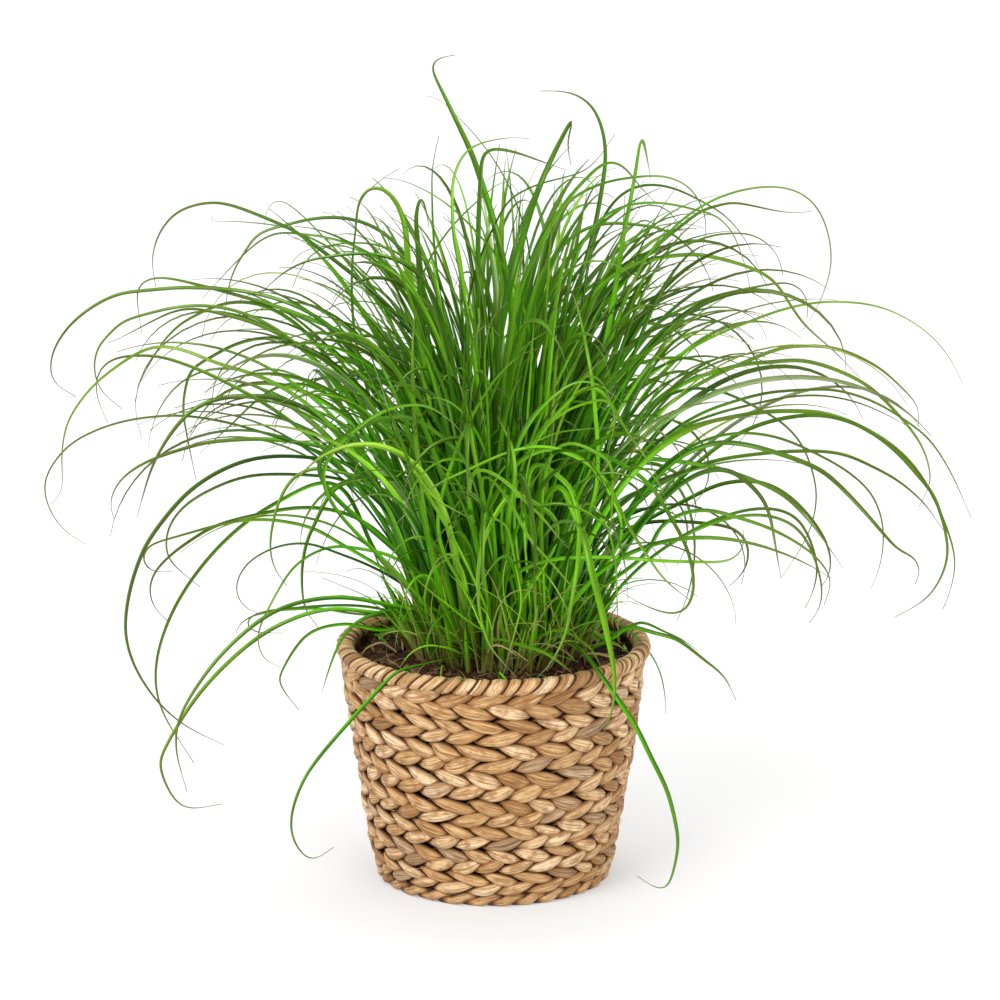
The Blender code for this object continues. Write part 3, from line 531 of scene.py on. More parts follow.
def leaf_material(name, shade=1.0):
    """Keeled leaves: yellow-green foot, green blade with fine veins, dry brown tip.

    along runs 0..1 from foot to tip, rise is mm from the foot, across runs
    -1..1 over the blade with 0 on the keel; tone differs from leaf to leaf.
    """
    m = Nodes(name)
    along, rise, across = m.field("along"), m.field("rise"), m.field("across")
    tone, dry = m.field("tone"), m.field("dry")
    green = m.ramp(tone,
                   (0.0, (0.007 * shade, 0.048 * shade, 0.0002)),
                   (0.30, (0.022 * shade, 0.150 * shade, 0.0003)),
                   (0.58, (0.080 * shade, 0.350 * shade, 0.0010)),
                   (0.84, (0.220 * shade, 0.580 * shade, 0.0120)),
                   (0.92, (0.400 * shade, 0.690 * shade, 0.0700)),
                   (0.96, (0.125 * shade, 0.310 * shade, 0.0500)),
                   (1.0, (0.38 * shade, 0.620 * shade, 0.2000)))
    place = m.put("ShaderNodeCombineXYZ")
    m.set(place.inputs[0], m.math("MULTIPLY", across, 1.0))
    m.set(place.inputs[1], m.math("MULTIPLY", rise, 0.012))
    m.set(place.inputs[2], m.math("MULTIPLY", tone, 37.0))
    vein = m.noise(place.outputs[0], 5.5, 3.0, 0.6)
    # painted light and shade: long lighter and darker patches along each blade, as it twists to and from the light
    painted_twist_light = m.noise(m.scaled(place.outputs[0], 0.3, 1.0, 1.0), 1.6, 2.0, 0.5)
    light = m.math("MULTIPLY", m.span(vein, 0.3, 0.7, 0.82, 1.16),
                   m.span(painted_twist_light, 0.3, 0.7, 0.62, 1.46))
    colour = m.mix(1.0, green, light, "MULTIPLY")
    # one half of the keel is painted lighter and the other darker, as painted light and shade on the fold; the outer
    # part is darker and more olive, the lower part paler and yellower
    colour = m.mix(1.0, colour, m.span(across, -0.35, 0.35, 0.66, 1.28), "MULTIPLY")
    colour = m.mix(m.span(along, 0.42, 0.92, 0.0, 0.52), colour, (0.100, 0.165, 0.0100, 1))
    # and what hangs out far from the pot is duller than the upright middle
    spot = m.put("ShaderNodeSeparateXYZ")
    m.set(spot.inputs[0], m.put("ShaderNodeNewGeometry").outputs["Position"])
    reach = m.math("ADD", m.math("POWER", m.math("ABSOLUTE", spot.outputs[0]), 2.0),
                   m.math("MULTIPLY", m.math("POWER", m.math("ABSOLUTE", spot.outputs[1]), 2.0), 0.25))
    far = m.span(reach, 0.005, 0.026)
    colour = m.mix(far, colour, m.mix(1.0, colour, (1.30, 0.83, 1.8, 1), "MULTIPLY"))
    colour = m.mix(m.math("MULTIPLY", far, 0.30), colour, (0.105, 0.150, 0.030, 1))
    colour = m.mix(m.span(rise, 12.0, 80.0, 0.30, 0.0), colour, (0.15, 0.32, 0.006, 1))
    which = m.math("FRACT", m.math("MULTIPLY", tone, 53.0))
    foot = m.ramp(which, (0.0, (0.42, 0.43, 0.110)), (0.45, (0.30, 0.31, 0.050)), (0.62, (0.20, 0.115, 0.040)),
                  (1.0, (0.10, 0.045, 0.018)))
    colour = m.mix(m.span(rise, 5.0, 34.0, 0.85, 0.0), colour, foot)
    # midrib
    rib = m.span(m.math("ABSOLUTE", across), 0.02, 0.20, 0.22, 0.0)
    colour = m.mix(rib, colour, (0.24, 0.42, 0.030, 1))
    # a pale stripe beside the midrib, stronger in places: a painted highlight for the gloss on one half of the keel
    painted_highlight = m.math("MULTIPLY", m.span(across, 0.06, 0.34), m.span(across, 0.40, 0.78, 1.0, 0.0))
    painted_highlight = m.math("MULTIPLY", painted_highlight, m.span(m.noise(m.scaled(place.outputs[0], 0.1, 0.8, 1.0), 2.3, 1.0, 0.5),
                                                0.50, 0.68, 0.0, 0.55))
    colour = m.mix(painted_highlight, colour, (0.42, 0.66, 0.170, 1))
    # tip dries to grey-brown
    tip = m.math("MULTIPLY", m.span(along, 0.88, 1.0, 0.0, 0.85), 1.0)
    colour = m.mix(tip, colour, (0.150, 0.140, 0.075, 1))
    straw = m.mix(vein, (0.42, 0.27, 0.10, 1), (0.66, 0.51, 0.25, 1))
    brown = m.mix(vein, (0.075, 0.030, 0.010, 1), (0.230, 0.100, 0.036, 1))
    colour = m.mix(dry, colour, m.mix(m.span(tone, 0.24, 0.34), brown, straw))
    m.set(m.shader.inputs["Base Color"], colour)
    m.set(m.shader.inputs["Roughness"], m.span(vein, 0.3, 0.7, 0.32, 0.46))
    m.shader.inputs["Specular IOR Level"].default_value = 0.14
    m.shader.inputs["Subsurface Weight"].default_value = 0.0
    m.set(m.shader.inputs["Normal"], m.bump(vein, 0.35, 0.0003))
    return m.mat


def soil_material():
    m = Nodes("potting_soil")
    tone, kind = m.field("tone"), m.field("kind")
    where = m.put("ShaderNodeNewGeometry").outputs["Position"]
    coarse = m.noise(where, 160.0, 5.0, 0.65)
    fine = m.noise(where, 900.0, 4.0, 0.7)
    earth = m.ramp(m.math("ADD", m.math("MULTIPLY", coarse, 0.6), m.math("MULTIPLY", tone, 0.42)),
                   (0.22, (0.013, 0.0045, 0.0018)), (0.48, (0.052, 0.018, 0.007)),
                   (0.66, (0.110, 0.042, 0.017)), (0.86, (0.230, 0.110, 0.050)))
    earth = m.mix(1.0, earth, m.span(fine, 0.3, 0.7, 0.62, 1.35), "MULTIPLY")
    bark = m.mix(fine, (0.080, 0.036, 0.018, 1), (0.230, 0.125, 0.062, 1))
    colour = m.mix(m.span(kind, 0.2, 0.5, 0.0, 1.0), earth, bark)
    colour = m.mix(m.span(kind, 0.8, 1.0, 0.0, 1.0), colour, (0.70, 0.66, 0.60, 1))
    m.set(m.shader.inputs["Base Color"], colour)
    m.shader.inputs["Roughness"].default_value = 0.88
    m.shader.inputs["Specular IOR Level"].default_value = 0.3
    m.set(m.shader.inputs["Normal"], m.bump(m.math("ADD", coarse, m.math("MULTIPLY", fine, 0.5)), 0.8, 0.0012))
    return m.mat


STRAW = straw_material("water_hyacinth_straw", (0.35, 0.178, 0.066), (0.93, 0.70, 0.45),
                       (0.655, 0.412, 0.192), (0.33, 0.142, 0.043))
STRAW_RIM = straw_material("rim_straw", (0.40, 0.215, 0.085), (0.96, 0.73, 0.47),
                           (0.83, 0.545, 0.275), (0.38, 0.180, 0.060))
STRAW_DARK = straw_material("base_straw", (0.36, 0.185, 0.074), (0.82, 0.56, 0.31),
                            (0.60, 0.36, 0.165), (0.34, 0.155, 0.052))
LEAF = leaf_material("sedge_leaf")
SHEATH = leaf_material("sedge_sheath", 1.15)
SOIL = soil_material()


# ------------------------------------------------------------ straw
def strand(centre, out, up_hint, half_out, half_up, around, seed, groove=0.07, mm_per_unit=1.0):
    """Rings round a closed centre line, with lengthwise grooves, and their fibre values."""
    n = len(centre)
    along = unit(np.roll(centre, -1, axis=0) - np.roll(centre, 1, axis=0))
    up = unit(up_hint - along * np.sum(up_hint * along, axis=1, keepdims=True))
    side = unit(out - along * np.sum(out * along, axis=1, keepdims=True)
                - up * np.sum(out * up, axis=1, keepdims=True))
    step = np.linalg.norm(np.roll(centre, -1, axis=0) - centre, axis=1)
    run = np.concatenate([[0], np.cumsum(step)[:-1]])
    phi = TAU * np.arange(around) / around
    rings = np.empty((n, around, 3))
    fibre = np.empty((n, around, 3))
    for i in range(n):
        for j, a in enumerate(phi):
            c, s = math.cos(a), math.sin(a)
            g = 1.0 + groove * wave(run[i] * 0.035, c * 3.1, s * 3.1, seed)
            x, y = math.copysign(abs(c) ** 0.82, c), math.copysign(abs(s) ** 0.92, s)
            rings[i, j] = centre[i] + side[i] * (half_out[i] * x * g) + up[i] * (half_up[i] * y * g)
            fibre[i, j] = (run[i] + seed * 41.0, c * 1.3 + seed * 2.7, s * 1.3)
    return rings, fibre


def round_field(values, around):
    return np.repeat(np.asarray(values, float)[:, None], around, axis=1)


def braid_course(theta, reach=math.radians(70), middle=0.46, fall=0.42):
    """Course of a strand in units of half the row: height, and its place in its lobe.

    The strand shows as a slanting lobe that runs from the row's edge to its
    middle, and then crosses behind the others to the opposite edge.
    """
    place = np.mod(theta + math.pi / 2, math.pi) - math.pi / 2
    side = np.where(np.mod(theta + math.pi / 2, TAU) < math.pi, 1.0, -1.0)
    gap = math.pi - 2 * reach
    after, before = (place - reach) / gap, 1 - (-reach - place) / gap
    share = np.where(place > 0, after, before)
    share = np.clip(share, 0, 1)
    share = share * share * (3 - 2 * share)
    height = side * (middle - fall * np.clip(place / reach, -1, 1))
    height = np.where(place > reach, side * (middle - fall - 2 * middle * share), height)
    height = np.where(place < -reach, side * (fall - middle + 2 * middle * share), height)
    return height, place, side


def braid_row(row):
    rng = random.Random(900 + row)
    low, high = ROW_LIMITS[row], ROW_LIMITS[row + 1] + (1.8 if row == 7 else 0)
    middle, half = (low + high) / 2, (high - low) / 2
    slope = (wall_radius(high) - wall_radius(low)) / (high - low)
    lean = math.hypot(1, slope)
    radius = wall_radius(middle) - 3.5
    periods = round(TAU * radius / (50.5 + 0.9 * row))
    n = periods * 48
    u = TAU * np.arange(n) / n
    warp = np.array([0.10 * wave(math.cos(a) * 2.2, math.sin(a) * 2.2, 0.0, 40 + row) for a in u])
    start = rng.uniform(0, TAU)
    heading = -1.0 if row == 7 else 1.0              # the top row points the other way
    tubes = Tubes()
    around = 16
    phi = TAU * np.arange(around) / around
    for k in range(3):
        seed = row * 3 + k + 1
        theta = heading * periods * (u + warp) + TAU * k / 3 + start
        lobe = np.floor((theta + math.pi / 2) / math.pi).astype(int)
        lobes = sorted(set(lobe.tolist()))
        look = {q: (rng.random(), rng.random(), rng.gauss(0, 1), rng.gauss(0, 1), rng.gauss(0, 1))
                for q in lobes}
        if lobes[-1] - lobes[0] >= 2 * periods:      # the strand closes on itself
            look[lobes[-1]] = look[lobes[0]]
        shape = np.array([look[q] for q in lobe])
        ripple = np.array([wave(math.cos(a) * 6, math.sin(a) * 6, k * 3.0, 70 + row) for a in u])
        height, place, side = braid_course(theta)
        height = (np.roll(height, 1) + 2 * height + np.roll(height, -1)) / 4
        front = np.clip(np.cos(place * 90 / 86), 0, 1) ** 0.80
        bell = np.cos(place) ** 2
        v = half * height + 0.30 * bell * shape[:, 3] * half / 7.5
        d = 1.10 * np.cos(2 * (place - math.radians(8))) + 0.20 * ripple + 0.25 * bell * shape[:, 4]
        size = 1 + 0.05 * ripple + 0.06 * bell * shape[:, 4]
        half_up = half * (0.60 if row == 7 else 0.545) * np.maximum(front, 0.27) * size
        half_out = 2.30 * (0.60 + 0.40 * front) * size
        r = radius + d / lean + v * slope / lean
        z = middle + v / lean - d * slope / lean
        centre = np.stack([r * np.cos(u), r * np.sin(u), z], axis=1)
        out = np.stack([np.cos(u) / lean, np.sin(u) / lean, np.full(n, -slope / lean)], axis=1)
        up = np.stack([np.cos(u) * slope / lean, np.sin(u) * slope / lean, np.full(n, 1 / lean)], axis=1)
        rings, fibre = strand(centre, out, up, half_out, half_up, around, seed, 0.15)
        tone = np.clip(0.57 + 0.24 * shape[:, 2] + 0.10 * ripple, 0.02, 0.90)
        grey = np.where(shape[:, 0] < 0.09, 0.40 + 0.50 * shape[:, 1], 0.0)
        # painted shade: darker towards where the strand dives under the others, along its upper and lower edges and on
        # its inner face
        buried = 1.05 * np.clip(0.78 - front, 0, 0.78) / 0.78
        edge = 0.74 * np.abs(np.sin(phi)) ** 3.6 + 0.5 * np.clip(-np.cos(phi), 0, 1)
        tubes.add(rings, True, 8, fibre=fibre, tone=round_field(tone, around),
                  grey=round_field(grey, around),
                  buried=np.clip(round_field(buried, around) + edge[None, :], 0, 1))
    # loose fibres that lift off the braid
    for h in range(7):
        a = rng.uniform(0, TAU)
        z = rng.uniform(low + 2, high - 2)
        r = wall_radius(z) + 0.2
        length, turn, lift = rng.uniform(6, 16), rng.uniform(-0.5, 0.5), rng.uniform(0.6, 2.2)
        pts = []
        for t in np.linspace(0, 1, 7):
            b = a + length * t * math.cos(turn) / r
            rr = r - 0.9 + lift * math.sin(math.pi * min(t * 0.8, 1))
            pts.append((rr * math.cos(b), rr * math.sin(b), z + length * t * math.sin(turn)))
        add_hair(tubes, np.array(pts), 0.17, rng, straw=True)
    stand_for(tubes.build(f"straw_braid_{row + 1}", STRAW, columns=3), f"braid_row_{row + 1}")


def add_hair(tubes, pts, half, rng, straw=False, tone=None, dry=None):
    """A thin round thread that narrows to its end."""
    n, around = len(pts), 5
    along = unit(np.gradient(pts, axis=0))
    side = unit(np.cross(along, np.array((0.31, 0.17, 0.93))))
    up = np.cross(side, along)
    rings = np.empty((n, around, 3))
    for i in range(n):
        w = half * (1 - 0.75 * i / (n - 1))
        for j in range(around):
            a = TAU * j / around
            rings[i, j] = pts[i] + side[i] * w * math.cos(a) + up[i] * w * math.sin(a)
    shape = (n, around)
    if straw:
        fibre = np.zeros((n, around, 3))
        fibre[..., 0] = np.arange(n)[:, None] * 1.5 + rng.uniform(0, 90)
        tubes.add(rings, fibre=fibre, tone=np.full(shape, 0.9), grey=np.zeros(shape),
                  buried=np.zeros(shape))
    else:
        t = np.linspace(0, 1, n)
        tubes.add(rings, along=round_field(t * 0.8, around), rise=round_field(60 + t * 40, around),
                  across=np.zeros(shape), tone=np.full(shape, tone), dry=np.full(shape, dry))


def wrapped_rim():
    """The hoop at the mouth, wrapped with slanting strips of straw."""
    rng = random.Random(77)
    total, bands, cuts = TAU * RIM_RADIUS, [], []
    place = 0.0
    while place < total - 7.0:                       # wraps
        width = rng.uniform(6.5, 11.0)
        bands.append((place, width))
        place += width
    stretch = total / place
    for place, width in bands:                       # folds inside a wrap
        folds = rng.choice((2, 3, 3, 4))
        marks = sorted(rng.uniform(0.15, 0.85) for _ in range(folds - 1))
        edges = [0.0, *marks, 1.0]
        for f in range(folds):
            cuts.append(((place + edges[f] * width) * stretch,
                         (edges[f + 1] - edges[f]) * width * stretch,
                         f == 0, rng.gauss(0, 1), rng.gauss(0, 1)))
    starts = np.array([c[0] for c in cuts])
    n, around = 1380, 22
    rings = np.empty((n, around, 3))
    fibre = np.empty((n, around, 3))
    tone = np.empty((n, around))
    grey = np.zeros((n, around))
    buried = np.zeros((n, around))
    for i in range(n):
        q = total * i / n
        k = int(np.searchsorted(starts, q, side="right")) - 1
        start, width, leads, tint, tilt = cuts[k]
        f = min(max((q - start) / width, 0.0), 1.0)
        edge = 1 - abs(2 * f - 1) ** 2.2
        wrap = next_band(q, bands, stretch)
        swell = 1 - abs(2 * wrap - 1) ** 2.8
        turn = q / RIM_RADIUS
        slant = 3.7 + 2.0 * wave(math.cos(turn) * 4, math.sin(turn) * 4, 0, 6)
        for j in range(around):
            b = TAU * j / around
            # the strips climb to the right over the outer face
            a = (q + slant * math.sin(b)) / RIM_RADIUS
            c, s = math.cos(a), math.sin(a)
            push = 0.40 * edge + 0.80 * swell + 0.30 * tilt * (f - 0.5) + 0.12 * tilt
            push += 0.12 * wave(q * 0.5, b * 2, 0, 8)
            w = RIM_HALF_WIDTH - 0.95 + push
            h = RIM_HALF_HEIGHT - 0.75 + push
            r = RIM_RADIUS + w * math.cos(b)
            z = RIM_HEIGHT + h * math.sin(b) + 0.35 * wave(c * 2, s * 2, 3, 4)
            rings[i, j] = (r * c, r * s, z)
            fibre[i, j] = (b * 5.0 + k * 23.0, f * width * 0.62 + k * 1.7, k * 0.9)
            tone[i, j] = min(max(0.50 + 0.29 * tint, 0.05), 0.97)
            grey[i, j] = 0.35 if tint < -1.9 else 0.0
            # painted shade in the creases between folds and in the valleys between wraps
            buried[i, j] = min(max(0.75 - 1.9 * edge, 0) * 0.8 + max(0.96 - 1.35 * swell, 0) * 1.25, 1.0)
    tubes = Tubes()
    tubes.add(rings, True, 12, fibre=fibre, tone=tone, grey=grey, buried=buried)
    stand_for(tubes.build("wrapped_rim", STRAW_RIM, columns=2), "rim")


def next_band(q, bands, stretch):
    """How far (0..1) a place lies into its wrap."""
    lo, hi = 0, len(bands) - 1
    while lo < hi:
        mid = (lo + hi + 1) // 2
        if bands[mid][0] * stretch <= q:
            lo = mid
        else:
            hi = mid - 1
    return min(max((q - bands[lo][0] * stretch) / (bands[lo][1] * stretch), 0.0), 1.0)


def twisted_rope():
    """Two-ply rope round the foot of the basket."""
    rng = random.Random(31)
    tubes = Tubes()
    turns, around = 15, 14
    n = turns * 40
    u = TAU * np.arange(n) / n
    for k in range(2):
        theta = -turns * u + math.pi * k + 0.4 * np.sin(3 * u)
        bent = theta + 0.22 * np.sin(2 * theta)
        r = ROPE_RADIUS + 0.2 + 1.25 * np.cos(bent)
        z = ROPE_HALF + 0.25 + 1.70 * np.sin(-bent)
        centre = np.stack([r * np.cos(u), r * np.sin(u), z], axis=1)
        out = np.stack([np.cos(u), np.sin(u), np.zeros(n)], axis=1)
        up = np.tile((0.0, 0.0, 1.0), (n, 1))
        size = np.array([1 + 0.06 * wave(math.cos(a) * 5, math.sin(a) * 5, k, 55) for a in u])
        rings, fibre = strand(centre, out, up, 2.70 * size, 3.05 * size * (0.88 + 0.12 * np.cos(2 * theta)),
                              around, 61 + k, 0.14)
        rings[..., 2] = np.maximum(rings[..., 2], 0.15)
        lobe = np.floor((theta + math.pi) / TAU).astype(int)
        look = {q: rng.gauss(0, 1) for q in sorted(set(lobe.tolist()))}
        tone = np.clip(0.5 + 0.2 * np.array([look[q] for q in lobe]), 0.05, 0.95)
        # painted shade where each ply turns in behind the other, along its edges and on its inner face
        buried = np.clip(0.45 - np.cos(theta), 0, 1) * 0.8
        phi = TAU * np.arange(around) / around
        edge = 0.55 * np.abs(np.sin(phi)) ** 4 + 0.4 * np.clip(-np.cos(phi), 0, 1)
        tubes.add(rings, True, 8, fibre=fibre, tone=round_field(tone, around), grey=np.zeros((n, around)),
                  buried=np.clip(round_field(buried, around) + edge[None, :], 0, 1))
    stand_for(tubes.build("foot_rope", STRAW_DARK, columns=3), "base_rope")


def coiled_base():
    """The flat bottom: a coil of straw, seen only from below."""
    count = 7
    under, over = [], []
    for i in range(count * 8 + 1):
        r = (BASE_RADIUS - 0.4) * i / (count * 8)
        dip = abs(math.sin(math.pi * count * i / (count * 8)))
        under.append((r, 0.9 - 0.85 * dip ** 0.6))
        over.append((r, BASE_THICK - 0.9 + 0.85 * dip ** 0.6))
    outline = under + [(BASE_RADIUS, 2.0), (BASE_RADIUS, 4.0)] + over[::-1]
    n, around = 160, len(outline)
    pts = np.empty((n, around, 3))
    fibre = np.empty((n, around, 3))
    tone = np.empty((n, around))
    for i in range(n):
        a = TAU * i / n
        for j, (r, z) in enumerate(outline):
            r = max(r, 0.02)
            pts[i, j] = (r * math.cos(a), r * math.sin(a), z)
            fibre[i, j] = (a * max(r, 6), r * 0.8, z * 0.5)
            tone[i, j] = 0.5 + 0.3 * wave(a * 2 + r * 0.2, r * 0.11, 0, 12)
    tubes = Tubes()
    tubes.add(pts, True, 4, fibre=fibre, tone=tone, grey=np.zeros((n, around)),
              buried=np.zeros((n, around)))
    stand_for(tubes.build("coiled_base", STRAW_DARK), "basket_base")


# ------------------------------------------------------------ soil
def soil_height(x, y):
    r = math.hypot(x, y)
    edge = wall_radius(SOIL_EDGE) - 8.6
    z = SOIL_TOP + (SOIL_EDGE - SOIL_TOP) * min(max((r - 55) / (edge - 55), 0), 1)
    z += 1.3 * wave(x * 0.055, y * 0.055, 0, 21) + 0.9 * wave(x * 0.21, y * 0.21, 0, 22)
    return z + 0.5 * wave(x * 0.6, y * 0.6, 0, 23)


def soil_bed():
    rng = random.Random(5)
    edge = wall_radius(SOIL_EDGE) - 8.6
    sectors = 200
    radii = [0.02] + [edge * math.sqrt(i / 46) for i in range(1, 47)]
    columns = []
    for i in range(sectors):
        a = TAU * i / sectors
        c, s = math.cos(a), math.sin(a)
        col = [(r * c, r * s, soil_height(r * c, r * s)) for r in radii]
        for height, inset in ((120, 8.9), (90, 8.6), (50, 8.4), (20, 8.6), (BASE_THICK + 2.4, 10)):
            r = wall_radius(height) - inset
            col.append((r * c, r * s, height))
        col.append(((BASE_RADIUS - 4) * c, (BASE_RADIUS - 4) * s, BASE_THICK + 0.4))
        col.append((0.02 * c, 0.02 * s, BASE_THICK + 0.4))
        columns.append(col)
    pts = np.array(columns)
    n, around, _ = pts.shape
    tubes = Tubes()
    tubes.add(pts, True, 1, tone=np.full((n, around), 0.35), kind=np.zeros((n, around)))
    # crumbs, bits of bark and a few white grains
    for q in range(1500):
        while True:
            x, y = rng.uniform(-edge, edge), rng.uniform(-edge, edge)
            if math.hypot(x, y) < edge - 1.5:
                break
        inside = math.hypot((x - CROWN_X) / CROWN_HALF_X, y / CROWN_HALF_Y) < 0.75
        if inside and rng.random() < 0.75:
            continue
        kind = 0.0
        size = rng.uniform(0.5, 1.9) * (1.3 if rng.random() < 0.12 else 1)
        if rng.random() < 0.10:
            kind = 0.5
        if q % 240 == 7:
            kind, size = 1.0, rng.uniform(0.8, 1.2)
        flat = rng.uniform(0.55, 1.0)
        long = rng.uniform(1.6, 3.2) if kind == 0.5 else rng.uniform(0.8, 1.4)
        turn, tip = rng.uniform(0, TAU), rng.uniform(-0.5, 0.5)
        z = soil_height(x, y) + size * flat * 0.35
        crumb(tubes, (x, y, z), size, flat, long, turn, tip, q, kind, rng.random())
    stand_for(tubes.build("soil_bed", SOIL, columns=24, sharp=50), "soil")


def crumb(tubes, at, size, flat, long, turn, tip, seed, kind, tone):
    """A small lump with an uneven surface."""
    n, around = 5, 7
    rings = np.empty((n, around, 3))
    c, s = math.cos(turn), math.sin(turn)
    for i in range(n):
        p = -0.94 + 1.88 * i / (n - 1)
        w = math.sqrt(max(1 - p * p, 0.03))
        for j in range(around):
            a = TAU * j / around
            g = 1 + 0.55 * wave(p * 2, math.cos(a) * 2, math.sin(a) * 2, seed % 97 + 30)
            x, y, z = p * long * g, w * math.cos(a) * g, w * math.sin(a) * flat * g
            z += p * tip
            rings[i, j] = (at[0] + size * (x * c - y * s), at[1] + size * (x * s + y * c),
                           at[2] + size * z)
    tubes.add(rings, tone=np.full((n, around), tone), kind=np.full((n, around), kind))


# ------------------------------------------------------------ leaves
def blade_rings(path, half_width, twist, keel, thick=0.16, facing=None, slim=None, blunt=4.8):
    """A keeled leaf round a centre line: flat V above, V below, sharp edges."""
    n = len(path)
    along = unit(np.gradient(path, axis=0))
    first = along[0]
    level = np.array((-first[1], first[0], 0.0))
    if np.linalg.norm(level) < 0.05:
        level = np.array((1.0, 0.0, 0.0))
    side = unit(level - first * level.dot(first))
    sides = [side]
    for i in range(1, n):
        s = sides[-1] - along[i] * sides[-1].dot(along[i])
        if facing is not None:                       # turns its face that way
            want = np.cross(along[i], facing)
            s = s / max(np.linalg.norm(s), 1e-9) + 0.35 * want * (1 if s.dot(want) >= 0 else -1)
            s = s - along[i] * s.dot(along[i])
        sides.append(s / max(np.linalg.norm(s), 1e-9))
    sides = np.array(sides)
    ups = np.cross(along, sides)
    c, s = np.cos(twist)[:, None], np.sin(twist)[:, None]
    right = sides * c + ups * s
    face = ups * c - sides * s
    t = np.linspace(0, 1, n)
    taper = np.clip(1 - t ** blunt, 0, 1)
    foot = 0.72 + 0.28 * np.clip(t / 0.18, 0, 1)
    if slim is not None:                             # (share of the width, and where it ends)
        foot = slim[0] + (1 - slim[0]) * np.clip((t - slim[1] * 0.5) / (slim[1] * 0.5), 0, 1)
    w = np.maximum(half_width * taper * foot, 0.20)[:, None]
    k = keel
    th = np.maximum(thick * (0.4 + 0.6 * taper), 0.07)[:, None]
    rings = np.stack([path - right * w + face * w * k,
                      path - face * th * 0.2 ,
                      path + right * w + face * w * k,
                      path - face * (th * 1.2 + w * 0.10)], axis=1)
    return rings, t


def add_blade(tubes, path, half_width, rng, tone, keel=0.62, dry=0.0, twist0=None, rise0=0.0, tip_dry=True,
              drift=0.8, facing=None, slim=None, blunt=4.8):
    n = len(path)
    t = np.linspace(0, 1, n)
    if twist0 is None:
        twist0 = rng.uniform(-1.15, 1.15)
    twist = twist0 + rng.gauss(0, drift) * t + 0.18 * np.sin(TAU * (t * rng.uniform(0.5, 1.4) + rng.random()))
    rings, t = blade_rings(path, half_width, twist, keel, facing=facing, slim=slim, blunt=blunt)
    length = np.concatenate([[0], np.cumsum(np.linalg.norm(np.diff(path, axis=0), axis=1))])
    across = np.tile((-1.0, 0.0, 1.0, 0.0), (n, 1))
    tubes.add(rings, along=round_field(t if tip_dry else t * 0.85, 4), rise=round_field(length + rise0, 4),
              across=across, tone=np.full((n, 4), tone), dry=np.full((n, 4), dry))


def arch(x, y, z, angle, lean0, lean1, length, power, sweep, count, wobble, phase):
    """Points up a leaf that rises and bends over."""
    steps = (count - 1) * 3
    points = [(x, y, z)]
    step = length / steps
    for i in range(steps):
        t = (i + 0.5) / steps
        lean = math.radians(lean0 + (lean1 - lean0) * t ** power + wobble * math.sin(TAU * (0.9 * t + phase)) * t)
        heading = math.radians(angle + sweep * t + 0.5 * wobble * math.cos(TAU * (0.8 * t + phase)))
        x += math.sin(lean) * math.cos(heading) * step
        y += math.sin(lean) * math.sin(heading) * step
        z += math.cos(lean) * step
        if (i + 1) % 3 == 0:
            points.append((x, y, z))
    return np.array(points)


def tuft_lane(values):
    angle, foot, lean0, lean1, length, power, sweep, _ = values
    a = math.radians(angle)
    return arch(CROWN_X + foot * math.cos(a), foot * math.sin(a) * CROWN_HALF_Y / CROWN_HALF_X, 150.0,
                angle, lean0, lean1, length, power, sweep, 21, 0, 0)


LANES = {name: tuft_lane(values) for name, values in TUFTS.items()}
LOW, HIGH = np.array((-262.0, -172.0, 4.0)), np.array((279.0, 238.0, 480.0))


# How far the scattered leaves reach in the front view, from a point in the
# clump: (direction in degrees, distance).
OUTLINE_CENTRE = (500.0, 560.0)
OUTLINE = ((-180, 390), (-170, 355), (-160, 310), (-150, 250), (-140, 190), (-120, 140), (-90, 118),
           (-60, 140), (-40, 190), (-30, 240), (-20, 300), (-10, 370),
           (0, 440), (10, 450), (20, 450), (30, 440), (40, 430), (50, 428), (60, 420), (70, 412), (80, 412),
           (90, 408), (100, 402), (110, 402), (120, 408), (130, 418), (140, 430), (150, 440), (160, 430),
           (170, 420), (180, 390))


# The open air beside the foot of the clump: (down, left edge, right edge).
BESIDE = ((455, 300, 745), (480, 325, 708), (520, 350, 668), (560, 370, 642), (600, 384, 622), (640, 395, 612))


def inside_outline(path, open_sides):
    dirs, dists = zip(*OUTLINE)
    downs, lefts, rights = zip(*BESIDE)
    for point in path[::2]:
        across, down = shown_at(point)
        dx, dy = across - OUTLINE_CENTRE[0], OUTLINE_CENTRE[1] - down
        if math.hypot(dx, dy) > np.interp(math.degrees(math.atan2(dy, dx)), dirs, dists):
            return False
        if 338 < across < 656 and down > 668 and point[1] < 0:
            return False
        if open_sides and 455 < down < 655 and not (np.interp(down, downs, lefts) < across
                                                    < np.interp(down, downs, rights)):
            return False
    return True


VIEWER = np.array((0.0, -math.cos(EYE_ANGLE), math.sin(EYE_ANGLE)))


def nearest_tuft(path):
    """The tuft whose lane runs closest to a leaf."""
    t = np.linspace(0, 1, 21)
    own = np.stack([np.interp(t, np.linspace(0, 1, len(path)), path[:, i]) for i in range(3)], axis=1)
    return min(LANES, key=lambda name: float(np.linalg.norm(LANES[name][6:] - own[6:], axis=1).mean()))


